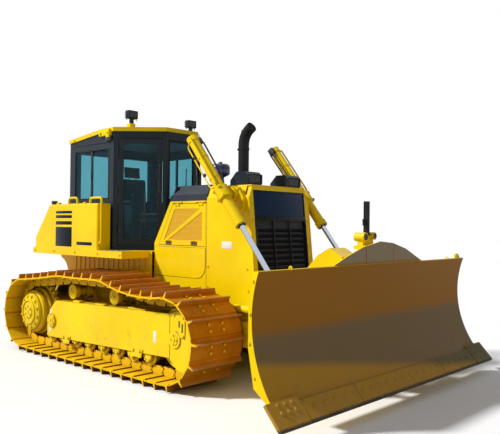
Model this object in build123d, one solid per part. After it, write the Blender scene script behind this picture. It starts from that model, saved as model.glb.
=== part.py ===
from build123d import *
import math
import os

# Crawler bulldozer with a six-way blade on an inside-mounted C-frame.
# Lengths are millimetres. X points forward, Y to the machine's left, Z up, ground at Z = 0.
# Stations along X are counted from the rearmost grouser that stands on the ground;
# save() moves them so that the origin is under the middle of the whole machine.

# Running gear
link_pitch = 203.2
chain_radius = 411.0          # pitch circle of the chain on sprocket and idler
sprocket_x = -20.0
idler_x = 3145.0
track_gauge = 2230.0
shoe_width = 760.0
grouser_height = 65.0
shoe_plate = 16.0
link_top = 50.0               # from the pin line out to the shoe's inner face
link_foot = 58.0              # from the pin line in to the rail
rail_near = 75.0              # rails lie this far from the middle of the track
rail_width = 45.0
carrier_radius = 98.0
chord_drop = 14.0             # how far a straight link dips between pins over a roller
carrier_tops = ((942.0, 1002.0), (1895.0, 1010.0))   # x and rail height over each roller
top_sag = (8.0, 10.0, 72.0)   # hang of the chain: sprocket, between rollers, to the idler
roller_count = 8
roller_first = 470.0
roller_last = 2635.0
roller_radius = 99.0
frame_half = 205.0            # half width of a track frame
cover_plate = 20.0
ring_half = 30.0              # half width of the sprocket's toothed ring
ring_bore = 236.0
housing = 235.0               # final drive housing: radius, and its inner end from the gauge line
housing_end = -430.0
running_gap = 1.0

# Main frame, engine bay and platform
hull_half = 430.0             # gearbox and hull between the C-frame arms
wall_half = 550.0             # engine bay sides
sheet = 12.0
belly_z = 415.0
bay_rear = 1800.0
guard_rear = 2815.0
guard_front = 3500.0
guard_top = 2275.0
hood_low = 2100.0
hood_top = 2300.0
platform_half = 1050.0
platform_rear = -500.0
platform_front = 1765.0
platform_z = 1450.0
platform_edge = 92.0
tank_top = 2080.0
tank_front = 1200.0
fuel_rear = -640.0
hitch_end = -740.0
hitch_bore = 30.0
hitch_z = 620.0

# Cab
cab_rear = 100.0
cab_pillar_x = 1200.0         # door post, where the sides turn in towards the windscreen
cab_front = 1690.0
cab_half = 800.0
screen_half = 280.0
cab_floor = 1500.0
cab_head = 2975.0             # underside of the roof
post = 85.0
cab_wall = 40.0
glass = 6.0
door_gap = 6.0

# Blade and C-frame
blade_half = 1930.0
blade_top = 1412.0
edge_half = 2025.0
edge_tip = (5283.0, 165.0)
board = 18.0
lift_x, lift_z = 1900.0, 560.0
arm_inner, arm_outer = 592.0, 704.0
arm_low, arm_high = 440.0, 690.0
angle_x = 4450.0              # upright pin of the blade yoke
tilt_z = 700.0                # lengthwise pin of the blade
pin_gap = 0.05

# Cylinders
lift_head = (2755.0, 2837.0)
lift_trunnion = (3300.0, 2164.0)
lift_eye = (4300.0, 930.0)
lift_y = 750.0
lift_bore = 62.0
lift_rod = 31.0
angle_base = (3200.0, 640.0)
angle_eye = (4550.0, 600.0)
angle_z = 850.0
tilt_base = (240.0, 1120.0)   # y and z
tilt_eye = (-520.0, 1120.0)
tilt_x = 4590.0
seal_gap = 0.3

pivot_x, pivot_z = 500.0, 560.0
hull_top = 1150.0
engine_low = 620.0
fuel_front = 60.0
hitch_x = -673.0
skirt_half = 600.0
skirt_low = 1060.0
rail_tube = 16.0
cowl_top = 2120.0
panel_gap = 6.0
# lower front, lower rear, upper rear and upper front corner of the engine bay's side door
door_hole = ((1880.0, 1535.0), (2795.0, 1535.0), (2795.0, 2072.0), (2165.0, 2072.0))
hinge_z = 2084.0
guard_low = 700.0
mask_lean = 100.0             # how far the guard's front leans out at the height lean_low
lean_low = 1330.0
mask_split = 1888.0           # between the name field and the grille
slat_pitch = 66.0
lamp_across = (240.0, 480.0)
lamp_rim = 22.0
exhaust_y = -140.0
exhaust_height = 785.0
exhaust_radius = 68.0
engine_x = (2050.0, 3000.0)
engine_half = 320.0
engine_top = 1850.0
roof_skin = 55.0
roof_overhang = 16.0
lamp_lift = 193.0
side_window_x = (230.0, 1090.0)
side_window_z = (cab_floor + 650, cab_head - 125)
rear_window = 640.0
screen_window = 225.0
screen_low = cab_floor + 400
trunnion_pin = 70.0
trunnion_stub = 40.0

# Blade fittings
rib_places = (-1500.0, -1050.0, -420.0, 420.0, 1050.0, 1500.0)
rib_back = 4790.0
hump = ((-850.0, 1395.0), (880.0, 1395.0), (880.0, 1415.0), (520.0, 1560.0), (250.0, 1625.0),
        (0.0, 1645.0), (-330.0, 1590.0), (-620.0, 1500.0), (-850.0, 1415.0))
mast_x, mast_y = 4770.0, -45.0
mast_low = 1600.0
mast_height = 370.0
guard_x = 4905.0              # rear face of the spill guard
guard_sheet = 16.0
trunnion_face = 4715.0
tilt_pin = 55.0
upright_pin = 52.0
yoke_front = 4700.0
wing_rear = 4625.0
wing_half = 645.0
wing_low, wing_high = 775.0, 925.0
nose_plate = 50.0
nose_radius = 85.0
beam_low, beam_high = 450.0, 780.0
beam_half = 830.0
eye_width = 50.0
eye_gap = 8.0
ear_plate = 20.0
eye_pin = 22.0
lift_length = 1330.0
lift_blind = 255.0

half_gauge = track_gauge / 2
tip_offset = link_top + shoe_plate + grouser_height
axle_z = tip_offset + chain_radius
rear_end = hitch_end
origin_x = (edge_tip[0] + rear_end) / 2

os.makedirs("parts", exist_ok=True)


# Makers of plain forms
def prism_y(outline, low, high):
    face = make_face(Polyline(*[(x, low, z) for x, z in outline], close=True))
    return extrude(face, amount=high - low, dir=(0, 1, 0))


def prism_x(outline, low, high):
    face = make_face(Polyline(*[(low, y, z) for y, z in outline], close=True))
    return extrude(face, amount=high - low, dir=(1, 0, 0))


def prism_z(outline, low, high):
    face = make_face(Polyline(*[(x, y, low) for x, y in outline], close=True))
    return extrude(face, amount=high - low, dir=(0, 0, 1))


def block(x, y, z):
    size = (x[1] - x[0], y[1] - y[0], z[1] - z[0])
    middle = ((x[0] + x[1]) / 2, (y[0] + y[1]) / 2, (z[0] + z[1]) / 2)
    return Pos(*middle) * Box(*size)


def bar(start, end, radius):
    line = Vector(*end) - Vector(*start)
    return Solid.make_cylinder(radius, line.length, Plane(origin=start, z_dir=line))


def turned(profile, x, y, z):
    # (radius, across) points turned about a line along Y through (x, y, z)
    face = make_face(Polyline(*[(x + r, y + a, z) for r, a in profile], close=True))
    return revolve(face, Axis((x, y, z), (0, 1, 0)))


def doubled(half):
    # a turned profile and its reflection across the middle
    return half + tuple((r, -a) for r, a in reversed(half))


def other_side(shape):
    return mirror(shape, about=Plane.XZ)


def save(node, *shapes):
    solids = [Pos(-origin_x, 0, 0) * s for shape in shapes for s in shape.solids()]
    whole = solids[0] if len(solids) == 1 else Compound(solids)
    export_step(whole, f"parts/{node}.step")


# Chain
def arc_points(x, z, radius, start, end, steps=40):
    turn = math.radians(end - start) / steps
    first = math.radians(start)
    return [(x + radius * math.cos(first + turn * i), z + radius * math.sin(first + turn * i))
            for i in range(steps + 1)]


def hanging(start, end, sag, steps=24):
    points = []
    for i in range(1, steps):
        f = i / steps
        x = start[0] + (end[0] - start[0]) * f
        z = start[1] + (end[1] - start[1]) * f - 4 * sag * f * (1 - f)
        points.append((x, z))
    return points


def chain_pins():
    # pin positions round the loop: forward on the ground, up the idler, back over the rollers
    tops = [(sprocket_x, axle_z + chain_radius)]
    tops += [(x, z + link_foot) for x, z in carrier_tops]
    tops += [(idler_x, axle_z + chain_radius)]
    path = arc_points(idler_x, axle_z, chain_radius, -90, 90)
    for i in (2, 1, 0):
        path += hanging(tops[i + 1], tops[i], top_sag[i])
        if i:
            path.append(tops[i])
    path += arc_points(sprocket_x, axle_z, chain_radius, 90, 270)
    path.append(path[0])
    lengths = [math.dist(a, b) for a, b in zip(path, path[1:])]
    count = round(sum(lengths) / link_pitch)
    step = sum(lengths) / count
    # the ground run ends at the idler, where the first pin stands a part of a link back
    along = step - (idler_x + 0.1 * link_pitch) % link_pitch
    pins, walked, piece = [], 0.0, 0
    for i in range(count):
        goal = along + i * step
        while walked + lengths[piece] < goal:
            walked += lengths[piece]
            piece += 1
        f = (goal - walked) / lengths[piece]
        a, b = path[piece], path[piece + 1]
        pins.append((a[0] + (b[0] - a[0]) * f, a[1] + (b[1] - a[1]) * f))
    return pins


def on_link(a, b, along, out):
    # a point by its share of the link from a to b and its distance outward
    length = math.dist(a, b)
    dx, dz = (b[0] - a[0]) / length, (b[1] - a[1]) / length
    return (a[0] + dx * along * length + dz * out, a[1] + dz * along * length - dx * out)


def loop_at(pins, out):
    # the chain's polygon moved outward, mitred at each pin
    points = []
    for i, here in enumerate(pins):
        back, ahead = pins[i - 1], pins[(i + 1) % len(pins)]
        a, b = on_link(back, here, 1, out), on_link(here, ahead, 0, out)
        middle = ((a[0] + b[0]) / 2 - here[0], (a[1] + b[1]) / 2 - here[1])
        stretch = out * out / (middle[0] ** 2 + middle[1] ** 2)
        points.append((here[0] + middle[0] * stretch, here[1] + middle[1] * stretch))
    return points


def track():
    pins = chain_pins()
    links = list(zip(pins, pins[1:] + pins[:1]))
    plate = link_top + shoe_plate
    # share of the link, distance from the pin line: plate, then one grouser
    shoe = ((0.03, plate), (0.83, plate), (0.86, tip_offset), (0.94, tip_offset), (0.97, plate))
    outline = [on_link(a, b, share, out) for a, b in links for share, out in shoe]
    inner = loop_at(pins, link_top)
    band = prism_y(outline, -shoe_width / 2, shoe_width / 2)
    band -= prism_y(inner, -shoe_width / 2, shoe_width / 2)
    foot = ((0.0, -link_foot * 0.6), (0.12, -link_foot), (0.88, -link_foot))
    rail_foot = [on_link(a, b, share, out) for a, b in links for share, out in foot]
    rail_hole = prism_y(rail_foot, -shoe_width / 2, shoe_width / 2)
    for low in (-rail_near - rail_width, rail_near):
        band += prism_y(inner, low, low + rail_width) - rail_hole
    return band


def wheel_parts():
    # sprocket: teeth between every half link
    half_step = 360 / (2 * math.pi * chain_radius / link_pitch) / 2
    teeth = round(360 / half_step)
    tooth = ((-0.5, -44.0), (-0.28, -40.0), (-0.12, 12.0), (0.12, 12.0), (0.28, -40.0))
    outline = []
    for i in range(teeth):
        for share, out in tooth:
            angle = math.radians((i + share) * 360 / teeth)
            radius = chain_radius + out
            outline.append((sprocket_x + radius * math.cos(angle),
                            axle_z + radius * math.sin(angle)))
    ring = prism_y(outline, -ring_half, ring_half)
    ring -= bar((sprocket_x, -ring_half - 1, axle_z), (sprocket_x, ring_half + 1, axle_z),
                ring_bore)
    # idler: a guiding rim between the rails and a tread under each rail
    chord = math.sqrt(chain_radius ** 2 - (link_pitch / 2) ** 2)
    tread = chord - link_foot - running_gap
    rim, near = tread + 22, rail_near - 6
    wide = rail_near + rail_width + 8
    half = ((60, 95), (105, 95), (105, 40), (tread - 70, 30), (tread - 50, wide), (tread, wide),
            (tread, near), (rim, near - 8))
    idler = turned(doubled(half), idler_x, 0, axle_z)
    return ring, idler


def rollers():
    # double-flanged track rollers with their end collars
    rail_z = tip_offset + link_foot
    far = rail_near + rail_width
    end = frame_half - cover_plate - seal_gap
    half = ((roller_radius - 18, rail_near - 14), (roller_radius, rail_near - 6),
            (roller_radius, far + 6), (roller_radius + 20, far + 8), (roller_radius + 16, far + 24),
            (62, far + 26), (62, end), (0, end))
    step = (roller_last - roller_first) / (roller_count - 1)
    return [turned(doubled(half), roller_first + step * i, 0,
                   rail_z + roller_radius + running_gap)
            for i in range(roller_count)]


def carrier(x, rail_z):
    z = rail_z - carrier_radius - chord_drop
    far = rail_near + rail_width
    wheel = ((0, -far - 25), (55, -far - 25), (carrier_radius, -far - 8),
             (carrier_radius, -rail_near + 8), (70, -rail_near + 22), (70, rail_near - 22),
             (carrier_radius, rail_near - 8), (carrier_radius, far + 10), (58, far + 25),
             (0, far + 25))
    roller = turned(wheel, x, 0, z)
    # the stand bolts to the frame's top on the inner side and holds the roller's shaft
    stand = prism_y(((x - 90, frame_top(x - 90)), (x + 90, frame_top(x + 90)), (x + 42, z + 10),
                     (x, z + 42), (x - 42, z + 10)), -far - 80, -far - 25)
    return roller + stand


# Track frame outline: x, z of its outer cover, from the rear lower corner
cover = ((430, 262), (497, 252), (3057, 330), (3057, 815), (640, 752), (520, 640), (430, 480))


def frame_top(x):
    low, high = cover[4], cover[3]
    return low[1] + (high[1] - low[1]) * (x - low[0]) / (high[0] - low[0])


def track_frame():
    # box beam over the rollers, closed by cover plates that reach down beside them
    half = frame_half
    floor = tip_offset + link_foot + 2 * roller_radius + 30
    front = idler_x - chain_radius + 20
    beam = prism_y(((560, floor), (front, floor), (front, frame_top(front)),
                    (640, frame_top(640)), (560, 660)), -half + sheet, half - sheet)
    plate = prism_y(cover, half - cover_plate, half)
    body = beam + plate + other_side(plate)
    boss = bar((560, half - 20, 480), (560, half + 26, 480), 92)
    body += boss
    # forked yoke that carries the idler's shaft ends
    cheek_outline = ((3040, 400), (3040, frame_top(3040)), (3190, 850), (3300, 836), (3400, 760),
                     (3478, 600), (3478, 420), (3440, 330), (3310, 195), (3180, 215), (3040, 330))
    cheek = prism_y(cheek_outline, half - 42, half - 6)
    cheek += bar((idler_x, half - 60, axle_z), (idler_x, half + 8, axle_z), 95)
    body += cheek + other_side(cheek)
    hub = bar((idler_x, -half + 40, axle_z), (idler_x, half - 40, axle_z), 59)
    return body + hub


def final_drive():
    # turned hub cover, drum and the housing that runs in to the hull
    near = ring_half
    outer = ((0, 250), (170, 250), (188, 244), (248, 226), (262, 206), (262, 186), (292, 176),
             (305, 150), (305, 95), (330, 80), (330, near), (0, near))
    inner = ((0, -near), (330, -near), (330, -70), (300, -110), (housing, -130),
             (housing, housing_end), (0, housing_end))
    web = ((0, -near), (ring_bore - seal_gap, -near), (ring_bore - seal_gap, near), (0, near))
    return [turned(p, sprocket_x, 0, axle_z) for p in (outer, web, inner)]


def axle_arm():
    # what reaches from a side of the hull to one track frame
    reach = half_gauge - frame_half
    pivot = bar((pivot_x, hull_half, pivot_z), (pivot_x, reach, pivot_z), 95)
    equalizer = block((1390, 1510), (hull_half, reach), (630, 750))
    boss = bar((lift_x, hull_half, lift_z), (lift_x, arm_inner - 6, lift_z), 112)
    pin = bar((lift_x, hull_half, lift_z), (lift_x, arm_outer + 14, lift_z), trunnion_pin)
    cap = bar((lift_x, arm_outer + 6, lift_z), (lift_x, arm_outer + 18, lift_z), 92)
    drive = bar((sprocket_x, hull_half, axle_z), (sprocket_x, half_gauge + housing_end, axle_z),
                housing + 25)
    return pivot + equalizer + boss + pin + cap + drive


def main_frame():
    gearbox = prism_y(((-330, 560), (-230, belly_z), (1700, belly_z), (1700, hull_top),
                       (-330, hull_top)), -hull_half, hull_half)
    belly = block((1700, 3400), (-hull_half, hull_half), (belly_z, belly_z + 25))
    body = gearbox + belly
    for side in (-1, 1):
        inner, outer = sorted((side * (hull_half - 50), side * hull_half))
        body += block((1700, 3400), (inner, outer), (belly_z, 760))
    for x in (2180, 2820, 3290):
        body += block((x, x + 110), (-hull_half + 50, hull_half - 50), (belly_z + 25, engine_low))
    arm = axle_arm()
    return body + arm + other_side(arm)


def drawbar():
    # two ears with an upright hole for the towing pin
    body = block((-500, -330), (-140, 140), (hitch_z - 110, hitch_z + 110))
    for low, high in ((hitch_z - 80, hitch_z - 35), (hitch_z + 35, hitch_z + 80)):
        body += block((hitch_x, -500), (-90, 90), (low, high))
        body += bar((hitch_x, 0, low), (hitch_x, 0, high), hitch_x - hitch_end)
    return body - bar((hitch_x, 0, hitch_z - 120), (hitch_x, 0, hitch_z + 120), hitch_bore)


def platform():
    half = platform_half
    deck = block((fuel_front, bay_rear), (-skirt_half, skirt_half), (platform_z - sheet, platform_z))
    strip = block((platform_rear, platform_front), (skirt_half - sheet, half),
                  (platform_z - sheet, platform_z))
    edge_low = platform_z - platform_edge
    strip += block((platform_rear, platform_front), (half - sheet, half), (edge_low, platform_z))
    for x in (platform_rear, platform_front - sheet):
        strip += block((x, x + sheet), (skirt_half - sheet, half), (edge_low, platform_z))
    # inner skirt with a round arch behind, over the top of the track
    skirt = prism_y(((-290, skirt_low), (bay_rear, skirt_low), (bay_rear, platform_z),
                     (platform_rear, platform_z), (platform_rear, edge_low)),
                    skirt_half - sheet, skirt_half)
    arch = bar((platform_rear, skirt_half - 50, skirt_low - 30),
               (platform_rear, skirt_half + 50, skirt_low - 30), 250)
    right = strip + (skirt - arch)
    return deck + right + other_side(right)


def fuel_tank():
    slope = 230
    top = tank_top - 60
    lower = prism_y(((-280, hull_top), (fuel_front, hull_top), (fuel_front, platform_z),
                     (fuel_rear, platform_z), (fuel_rear, 1370), (-280, 1370)),
                    -skirt_half + sheet, skirt_half - sheet)
    upper = prism_y(((fuel_rear, platform_z), (fuel_front, platform_z), (fuel_front, top),
                     (fuel_rear + slope, top), (fuel_rear, platform_z + 150)),
                    -cab_half - 30, cab_half + 30)
    neck = bar((-250, 420, top), (-250, 420, top + 60), 70)
    return lower + upper + neck


def side_tank():
    rear = platform_rear + 40
    outline = ((rear, platform_z), (tank_front, platform_z), (tank_front, tank_top),
               (rear + 400, tank_top), (rear, platform_z + 150))
    tank = prism_y(outline, cab_half + 40, platform_half - 8)
    outer = tank.edges().filter_by(lambda e: e.center().Y > platform_half - 10)
    return fillet(outer.filter_by(lambda e: e.center().Z > platform_z + 1), 28)


def rails():
    # grab rails on a side tank: a low hoop and the tall one beside the door
    y = platform_half - 40
    low = pipe(((430, y, tank_top), (430, y, tank_top + 85), (650, y, tank_top + 85),
                (650, y, tank_top)), rail_tube, 45)
    x = tank_front + 45
    tall = pipe(((975, y, tank_top), (975, y, tank_top + 75), (x, y, tank_top + 75),
                 (x, y, platform_z + 95), (tank_front, y, platform_z + 95)), rail_tube, 40)
    return low, tall


def pipe(points, radius, bend):
    path = FilletPolyline(*points, radius=bend)
    start = Plane(origin=path @ 0, z_dir=path % 0)
    return sweep(start * Circle(radius), path=path)


def side_cover():
    # engine bay side with the door opening; its rear edge leans with the cowl
    plate = prism_y(((bay_rear, 760), (guard_rear, 760), (guard_rear, hood_low),
                     (cowl_top, hood_low), (bay_rear, 1560)), wall_half - sheet, wall_half)
    return plate - prism_y(door_hole, wall_half - 2 * sheet, wall_half + sheet)


def hood_door():
    # framed mesh panel hinged at its top edge
    panel = prism_y(inset(door_hole, -panel_gap), wall_half - sheet, wall_half)
    window = prism_y(inset(door_hole, -70), wall_half - 5, wall_half + 1)
    panel -= window
    low, high = door_hole[0], door_hole[2]
    brace = prism_y(((low[0] + 120, low[1] + 70), (low[0] + 190, low[1] + 70),
                     (high[0] - 70, high[1] - 110), (high[0] - 70, high[1] - 70),
                     (high[0] - 110, high[1] - 70)), wall_half - 5, wall_half)
    panel += brace
    for x in (2260, 2700):
        panel += bar((x - 45, wall_half + 9, hinge_z), (x + 45, wall_half + 9, hinge_z), 8)
        panel += block((x - 40, x + 40), (wall_half + 0.5, wall_half + 6), (hinge_z - 45, hinge_z))
        panel += block((x - 40, x + 40), (wall_half - 1, wall_half + 6),
                       (hinge_z - 45, door_hole[2][1] - panel_gap - 2))
    return panel


def door_hinges():
    shape = None
    for x in (2260, 2700):
        for low in (x - 95, x + 46):
            ear = bar((low, wall_half + 9, hinge_z), (low + 49, wall_half + 9, hinge_z), 9)
            ear += block((low, low + 49), (wall_half, wall_half + 8), (hinge_z, hinge_z + 14))
            shape = ear if shape is None else shape + ear
    return shape


def inset(outline, step):
    # an outline moved outward by step, inward if it is negative
    points = []
    for i, here in enumerate(outline):
        back, ahead = outline[i - 1], outline[(i + 1) % len(outline)]
        a, b = on_link(back, here, 1, step), on_link(here, ahead, 0, step)
        middle = ((a[0] + b[0]) / 2 - here[0], (a[1] + b[1]) / 2 - here[1])
        stretch = step * step / (middle[0] ** 2 + middle[1] ** 2)
        points.append((here[0] + middle[0] * stretch, here[1] + middle[1] * stretch))
    return points


def hood():
    outer = ((-wall_half, hood_low), (wall_half, hood_low), (wall_half, hood_top - 120),
             (wall_half - 75, hood_top), (-wall_half + 75, hood_top), (-wall_half, hood_top - 120))
    inner = [(y * (wall_half - sheet) / wall_half, z - sheet if z > hood_low else z - 1)
             for y, z in outer]
    lid = prism_x(outer, cowl_top, guard_rear) - prism_x(inner, cowl_top - 1, guard_rear + 1)
    lid -= prism_y(((cowl_top - 1, hood_low - 1), (cowl_top + 95, hood_top + 1),
                    (cowl_top - 1, hood_top + 1)), -600, 600)
    half = wall_half - sheet
    cowl = prism_y(((bay_rear, platform_z), (bay_rear + 14, platform_z), (bay_rear + 14, 1556),
                    (cowl_top + 16, hood_low), (cowl_top + 108, hood_top - sheet),
                    (cowl_top + 90, hood_top - sheet), (cowl_top, hood_low), (bay_rear, 1560)),
                   -half, half)
    return lid + cowl


def radiator_guard():
    # box round the radiator, open behind and in front, with leaning front edges
    side = ((guard_rear, guard_low), (guard_front + mask_lean + 20, guard_low),
            (guard_front + mask_lean, lean_low), (guard_front, guard_top), (guard_rear, guard_top))
    whole = prism_y(side, -wall_half, wall_half)
    corner = prism_x(((wall_half + 1, guard_top - 150), (wall_half + 1, guard_top + 1),
                      (wall_half - 64, guard_top + 1)), guard_rear - 1, guard_front + 200)
    middle = (guard_rear + guard_front) / 2
    hollow = prism_y([(x + (300 if x > middle else -50), z - sheet - (100 if z < 800 else 0))
                      for x, z in side], -wall_half + sheet, wall_half - sheet)
    whole -= hollow
    liner = prism_x(((wall_half - sheet, guard_top - 160), (wall_half - 76, guard_top - sheet),
                     (wall_half - sheet, guard_top - sheet)), guard_rear, guard_front - 70)
    whole += liner + other_side(liner)
    whole -= corner + other_side(corner)
    # bosses that carry the lift cylinders' trunnions
    x, z = lift_trunnion
    bracket = bar((x, wall_half, z), (x, wall_half + 92, z), 88)
    foot = prism_y(((x - 150, z - 74), (x + 160, z - 204), (x + 170, z - 44), (x + 90, z + 76),
                    (x - 70, z + 106), (x - 150, z + 36)), wall_half, wall_half + 45)
    mounting = bracket + foot
    mounting -= bar((x, wall_half - 1, z), (x, wall_half + 100, z), trunnion_stub + pin_gap)
    return whole + mounting + other_side(mounting)


def front_mask():
    # framed panel: dark name field above, grille below
    lean = mask_lean / (guard_top - lean_low)

    def face(z, out):
        return guard_front + (guard_top - z) * lean - out
    top, low, split = guard_top - sheet, guard_low + 20, mask_split
    half = wall_half - sheet
    frame = prism_y(((face(low, 60), low), (face(low, 6), low), (face(top, 6), top),
                     (face(top, 60), top)), -half, half)
    shape = frame
    for z1, z2 in ((low + 70, split - 25), (split + 25, top - 60)):
        recess = prism_y(((face(z1, 22), z1), (face(z1, -10), z1), (face(z2, -10), z2),
                          (face(z2, 22), z2)), -half + 70, half - 70)
        shape -= recess
    corner = prism_x(((half + 1, guard_top - 166), (half + 1, guard_top + 1),
                      (wall_half - 78, guard_top + 1)), guard_front - 200, guard_front + 200)
    return shape - corner - other_side(corner)


def grille():
    # slats that close the lower field of the mask
    lean = mask_lean / (guard_top - lean_low)
    low, high, pitch = guard_low + 100, mask_split - 33, slat_pitch
    slats = None
    count = int((high - low) / pitch)
    for i in range(count):
        z = low + pitch * i
        x = guard_front + (guard_top - z) * lean - 22
        slat = prism_y(((x, z), (x + 14, z + 8), (x + 14, z + 14), (x, z + 40)),
                       -wall_half + sheet + 70, wall_half - sheet - 70)
        slats = slat if slats is None else slats + slat
    return slats


def lamp_boxes():
    # housings on the radiator guard, each open in front round its lens
    x, z = guard_front - 70, guard_top
    box = prism_y(((x - 290, z), (x, z), (x, z + 120), (x - 45, z + 160), (x - 190, z + 160),
                   (x - 290, z + 60)), *lamp_across)
    across = (lamp_across[0] + lamp_rim, lamp_across[1] - lamp_rim)
    lens_z = (z + 25, z + 118)
    box -= block((x - 10, x + 10), across, lens_z)
    return box, block((x - 10, x - 2), across, lens_z)


def roof_lamp():
    # on a foot and a post at the roof's edge, above each door post
    x, y = cab_pillar_x + 50, cab_half - 255
    foot = roof_z(x + 30) + roof_skin
    z = foot + lamp_lift
    case = fillet(block((x - 45, x + 40), (y - 78, y + 78), (z - 58, z + 58)).edges(), 12)
    case += block((x - 22, x + 22), (y - 22, y + 22), (foot + 60, z - 50))
    case += block((x - 50, x + 30), (y - 40, y + 40), (foot, foot + 70))
    lens = block((x + 40, x + 46), (y - 62, y + 62), (z - 44, z + 44))
    return case, lens


def exhaust():
    x, y = guard_front - 470, exhaust_y
    mouth = Vector(x + 175, y, guard_top + exhaust_height)
    elbow = mouth - Vector(175, 0, 200)
    outer = pipe(((x, y, guard_top), elbow, mouth), exhaust_radius, 150)
    outer += bar((x, y, guard_top), (x, y, guard_top + 70), exhaust_radius + 16)
    back = mouth - (mouth - elbow).normalized() * 90
    return outer - bar(back, mouth + (mouth - back), exhaust_radius - 8)


def precleaner():
    x, y, low = guard_rear - 343, 0, hood_top
    # radius and height of each step
    steps = ((78, 0), (78, 20), (52, 34), (52, 130), (120, 165), (128, 180), (128, 260),
             (118, 290), (95, 306), (30, 312), (22, 336), (0, 336))
    face = make_face(Polyline(*[(x + r, y, low + h) for r, h in ((0, 0),) + steps], close=True))
    return revolve(face, Axis((x, y, low), (0, 0, 1)))


# Cab
def roof_z(x):
    # underside of the roof skin
    rise = ((cab_rear - 40, cab_head), (900, cab_head + 93), (cab_front + 60, cab_head + 108))
    for (x0, z0), (x1, z1) in zip(rise, rise[1:]):
        if x <= x1:
            break
    return z0 + (z1 - z0) * (x - x0) / (x1 - x0)


def hexagon(grow):
    turn = math.atan2(cab_half - screen_half, cab_front - cab_pillar_x)
    corner = grow * math.tan(turn / 2)
    nose = grow * math.tan((math.pi / 2 - turn) / 2)
    right = ((cab_rear - grow, -cab_half - grow), (cab_pillar_x + corner, -cab_half - grow),
             (cab_front + grow, -screen_half - nose))
    return right + tuple((x, -y) for x, y in reversed(right))


def under_roof(lift_low, lift_high):
    # slab between two heights that follow the roof line
    xs = (cab_rear - 60, 900, cab_front + 60)
    low = [(x, roof_z(x) + lift_low) for x in xs]
    high = [(x, roof_z(x) + lift_high) for x in reversed(xs)]
    return prism_y(low + high, -cab_half - 60, cab_half + 60)


def door_place(shape):
    # from door-face coordinates: x forward along the face, y inward, both from the door post
    turn = math.degrees(math.atan2(cab_half - screen_half, cab_front - cab_pillar_x))
    return Pos(cab_pillar_x, -cab_half, 0) * Rot(0, 0, turn) * shape


face_length = math.hypot(cab_half - screen_half, cab_front - cab_pillar_x)
door_start, door_end = 72.0, face_length - 52
door_low, door_high = cab_floor + 8, cab_head + 2
hinge_out, hinge_back = 16.0, 12.0
hinge_zs = (cab_floor + 220, (cab_floor + cab_head + 25) / 2, cab_head - 195)


def cab_frame():
    base = platform_z
    above = cab_head + 225
    shell = prism_z(hexagon(0), base, above) - prism_z(hexagon(-cab_wall), cab_floor, above + 1)
    shell &= under_roof(base - roof_z(cab_front) - 200, 0)
    for side in (-1, 1):
        y = sorted((side * (cab_half - 2 * cab_wall), side * (cab_half + 10)))
        shell -= block(side_window_x, y, side_window_z)
    shell -= block((cab_rear - 10, cab_rear + 2 * cab_wall), (-rear_window, rear_window),
                   side_window_z)
    shell -= block((cab_front - 2 * cab_wall, cab_front + 10), (-screen_window, screen_window),
                   (screen_low, cab_head))
    opening = door_place(block((door_start - door_gap, door_end + door_gap),
                               (-20, 2 * cab_wall), (door_low - door_gap, door_high + door_gap)))
    shell -= opening
    shell -= other_side(opening)
    for z in hinge_zs:
        ear = block((door_start - 60, door_start - hinge_back - 1), (-hinge_out + 2, 4),
                    (z + 31, z + 61))
        ear += bar((door_start - hinge_back, -hinge_out, z + 31),
                   (door_start - hinge_back, -hinge_out, z + 61), 13)
        ear = door_place(ear)
        shell += ear
        shell += other_side(ear)
    return shell


def cab_door():
    width = (door_start, door_end)
    door = block(width, (0, cab_wall), (door_low, door_high))
    pane = ((door_start + 55, door_end - 50), (door_low + 70, door_high - 60))
    door -= block(pane[0], (-1, cab_wall + 1), pane[1])
    for z in hinge_zs:
        door += block((door_start - hinge_back, door_start + 30), (-hinge_out + 4, -0.5),
                      (z - 30, z + 30))
        door += block((door_start + 4, door_start + 30), (-hinge_out + 4, 2), (z - 30, z + 30))
        door += bar((door_start - hinge_back, -hinge_out, z - 30),
                    (door_start - hinge_back, -hinge_out, z + 30), 13)
    # grab handle on the leading frame
    x = door_end - 28
    low, high = door_low + 772, door_low + 1112
    handle = pipe(((x, 0, low), (x, -55, low), (x, -55, high), (x, 0, high)), 11, 30)
    door += handle
    glass_pane = block(pane[0], (cab_wall / 2, cab_wall / 2 + glass), pane[1])
    return door_place(door), door_place(glass_pane)


def cab_panes():
    mid = cab_wall / 2
    panes = [block((cab_rear + mid, cab_rear + mid + glass), (-rear_window, rear_window),
                   side_window_z)]
    panes.append(block((cab_front - mid - glass, cab_front - mid),
                       (-screen_window, screen_window), (screen_low, cab_head)))
    # two sliding panes a side, one behind the other, that overlap at the middle
    x0, x1 = side_window_x
    middle = (x0 + x1) / 2
    for low, high, depth in ((x0, middle + 30, 10), (middle - 30, x1, 18)):
        pane = block((low, high), (cab_half - depth - glass, cab_half - depth), side_window_z)
        panes += [pane, other_side(pane)]
    return panes


def cab_roof():
    slab = prism_z(hexagon(roof_overhang), cab_head - 75, cab_head + 325)
    return slab & under_roof(0, roof_skin)


def seat():
    foot = block((640, 960), (-190, 190), (cab_floor, 1830))
    cushion = fillet(block((600, 1120), (-255, 255), (1830, 1960)).edges(), 35)
    back = prism_y(((560, 1900), (700, 1940), (610, 2480), (500, 2470)), -240, 240)
    back = fillet(back.edges(), 30)
    rest = fillet(prism_y(((500, 2500), (585, 2510), (570, 2680), (490, 2670)), -140, 140).edges(), 22)
    stalks = bar((545, -60, 2440), (545, -60, 2540), 9) + bar((545, 60, 2440), (545, 60, 2540), 9)
    return foot + cushion + back + stalks + rest


def consoles():
    side = prism_y(((640, cab_floor), (1080, cab_floor), (1140, 2010), (1100, 2070), (700, 2070),
                    (640, 1990)), 300, 430)
    side += bar((1050, 365, 2060), (1062, 365, 2190), 12)
    side += Pos(1064, 365, 2205) * Sphere(32)
    return side


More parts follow.
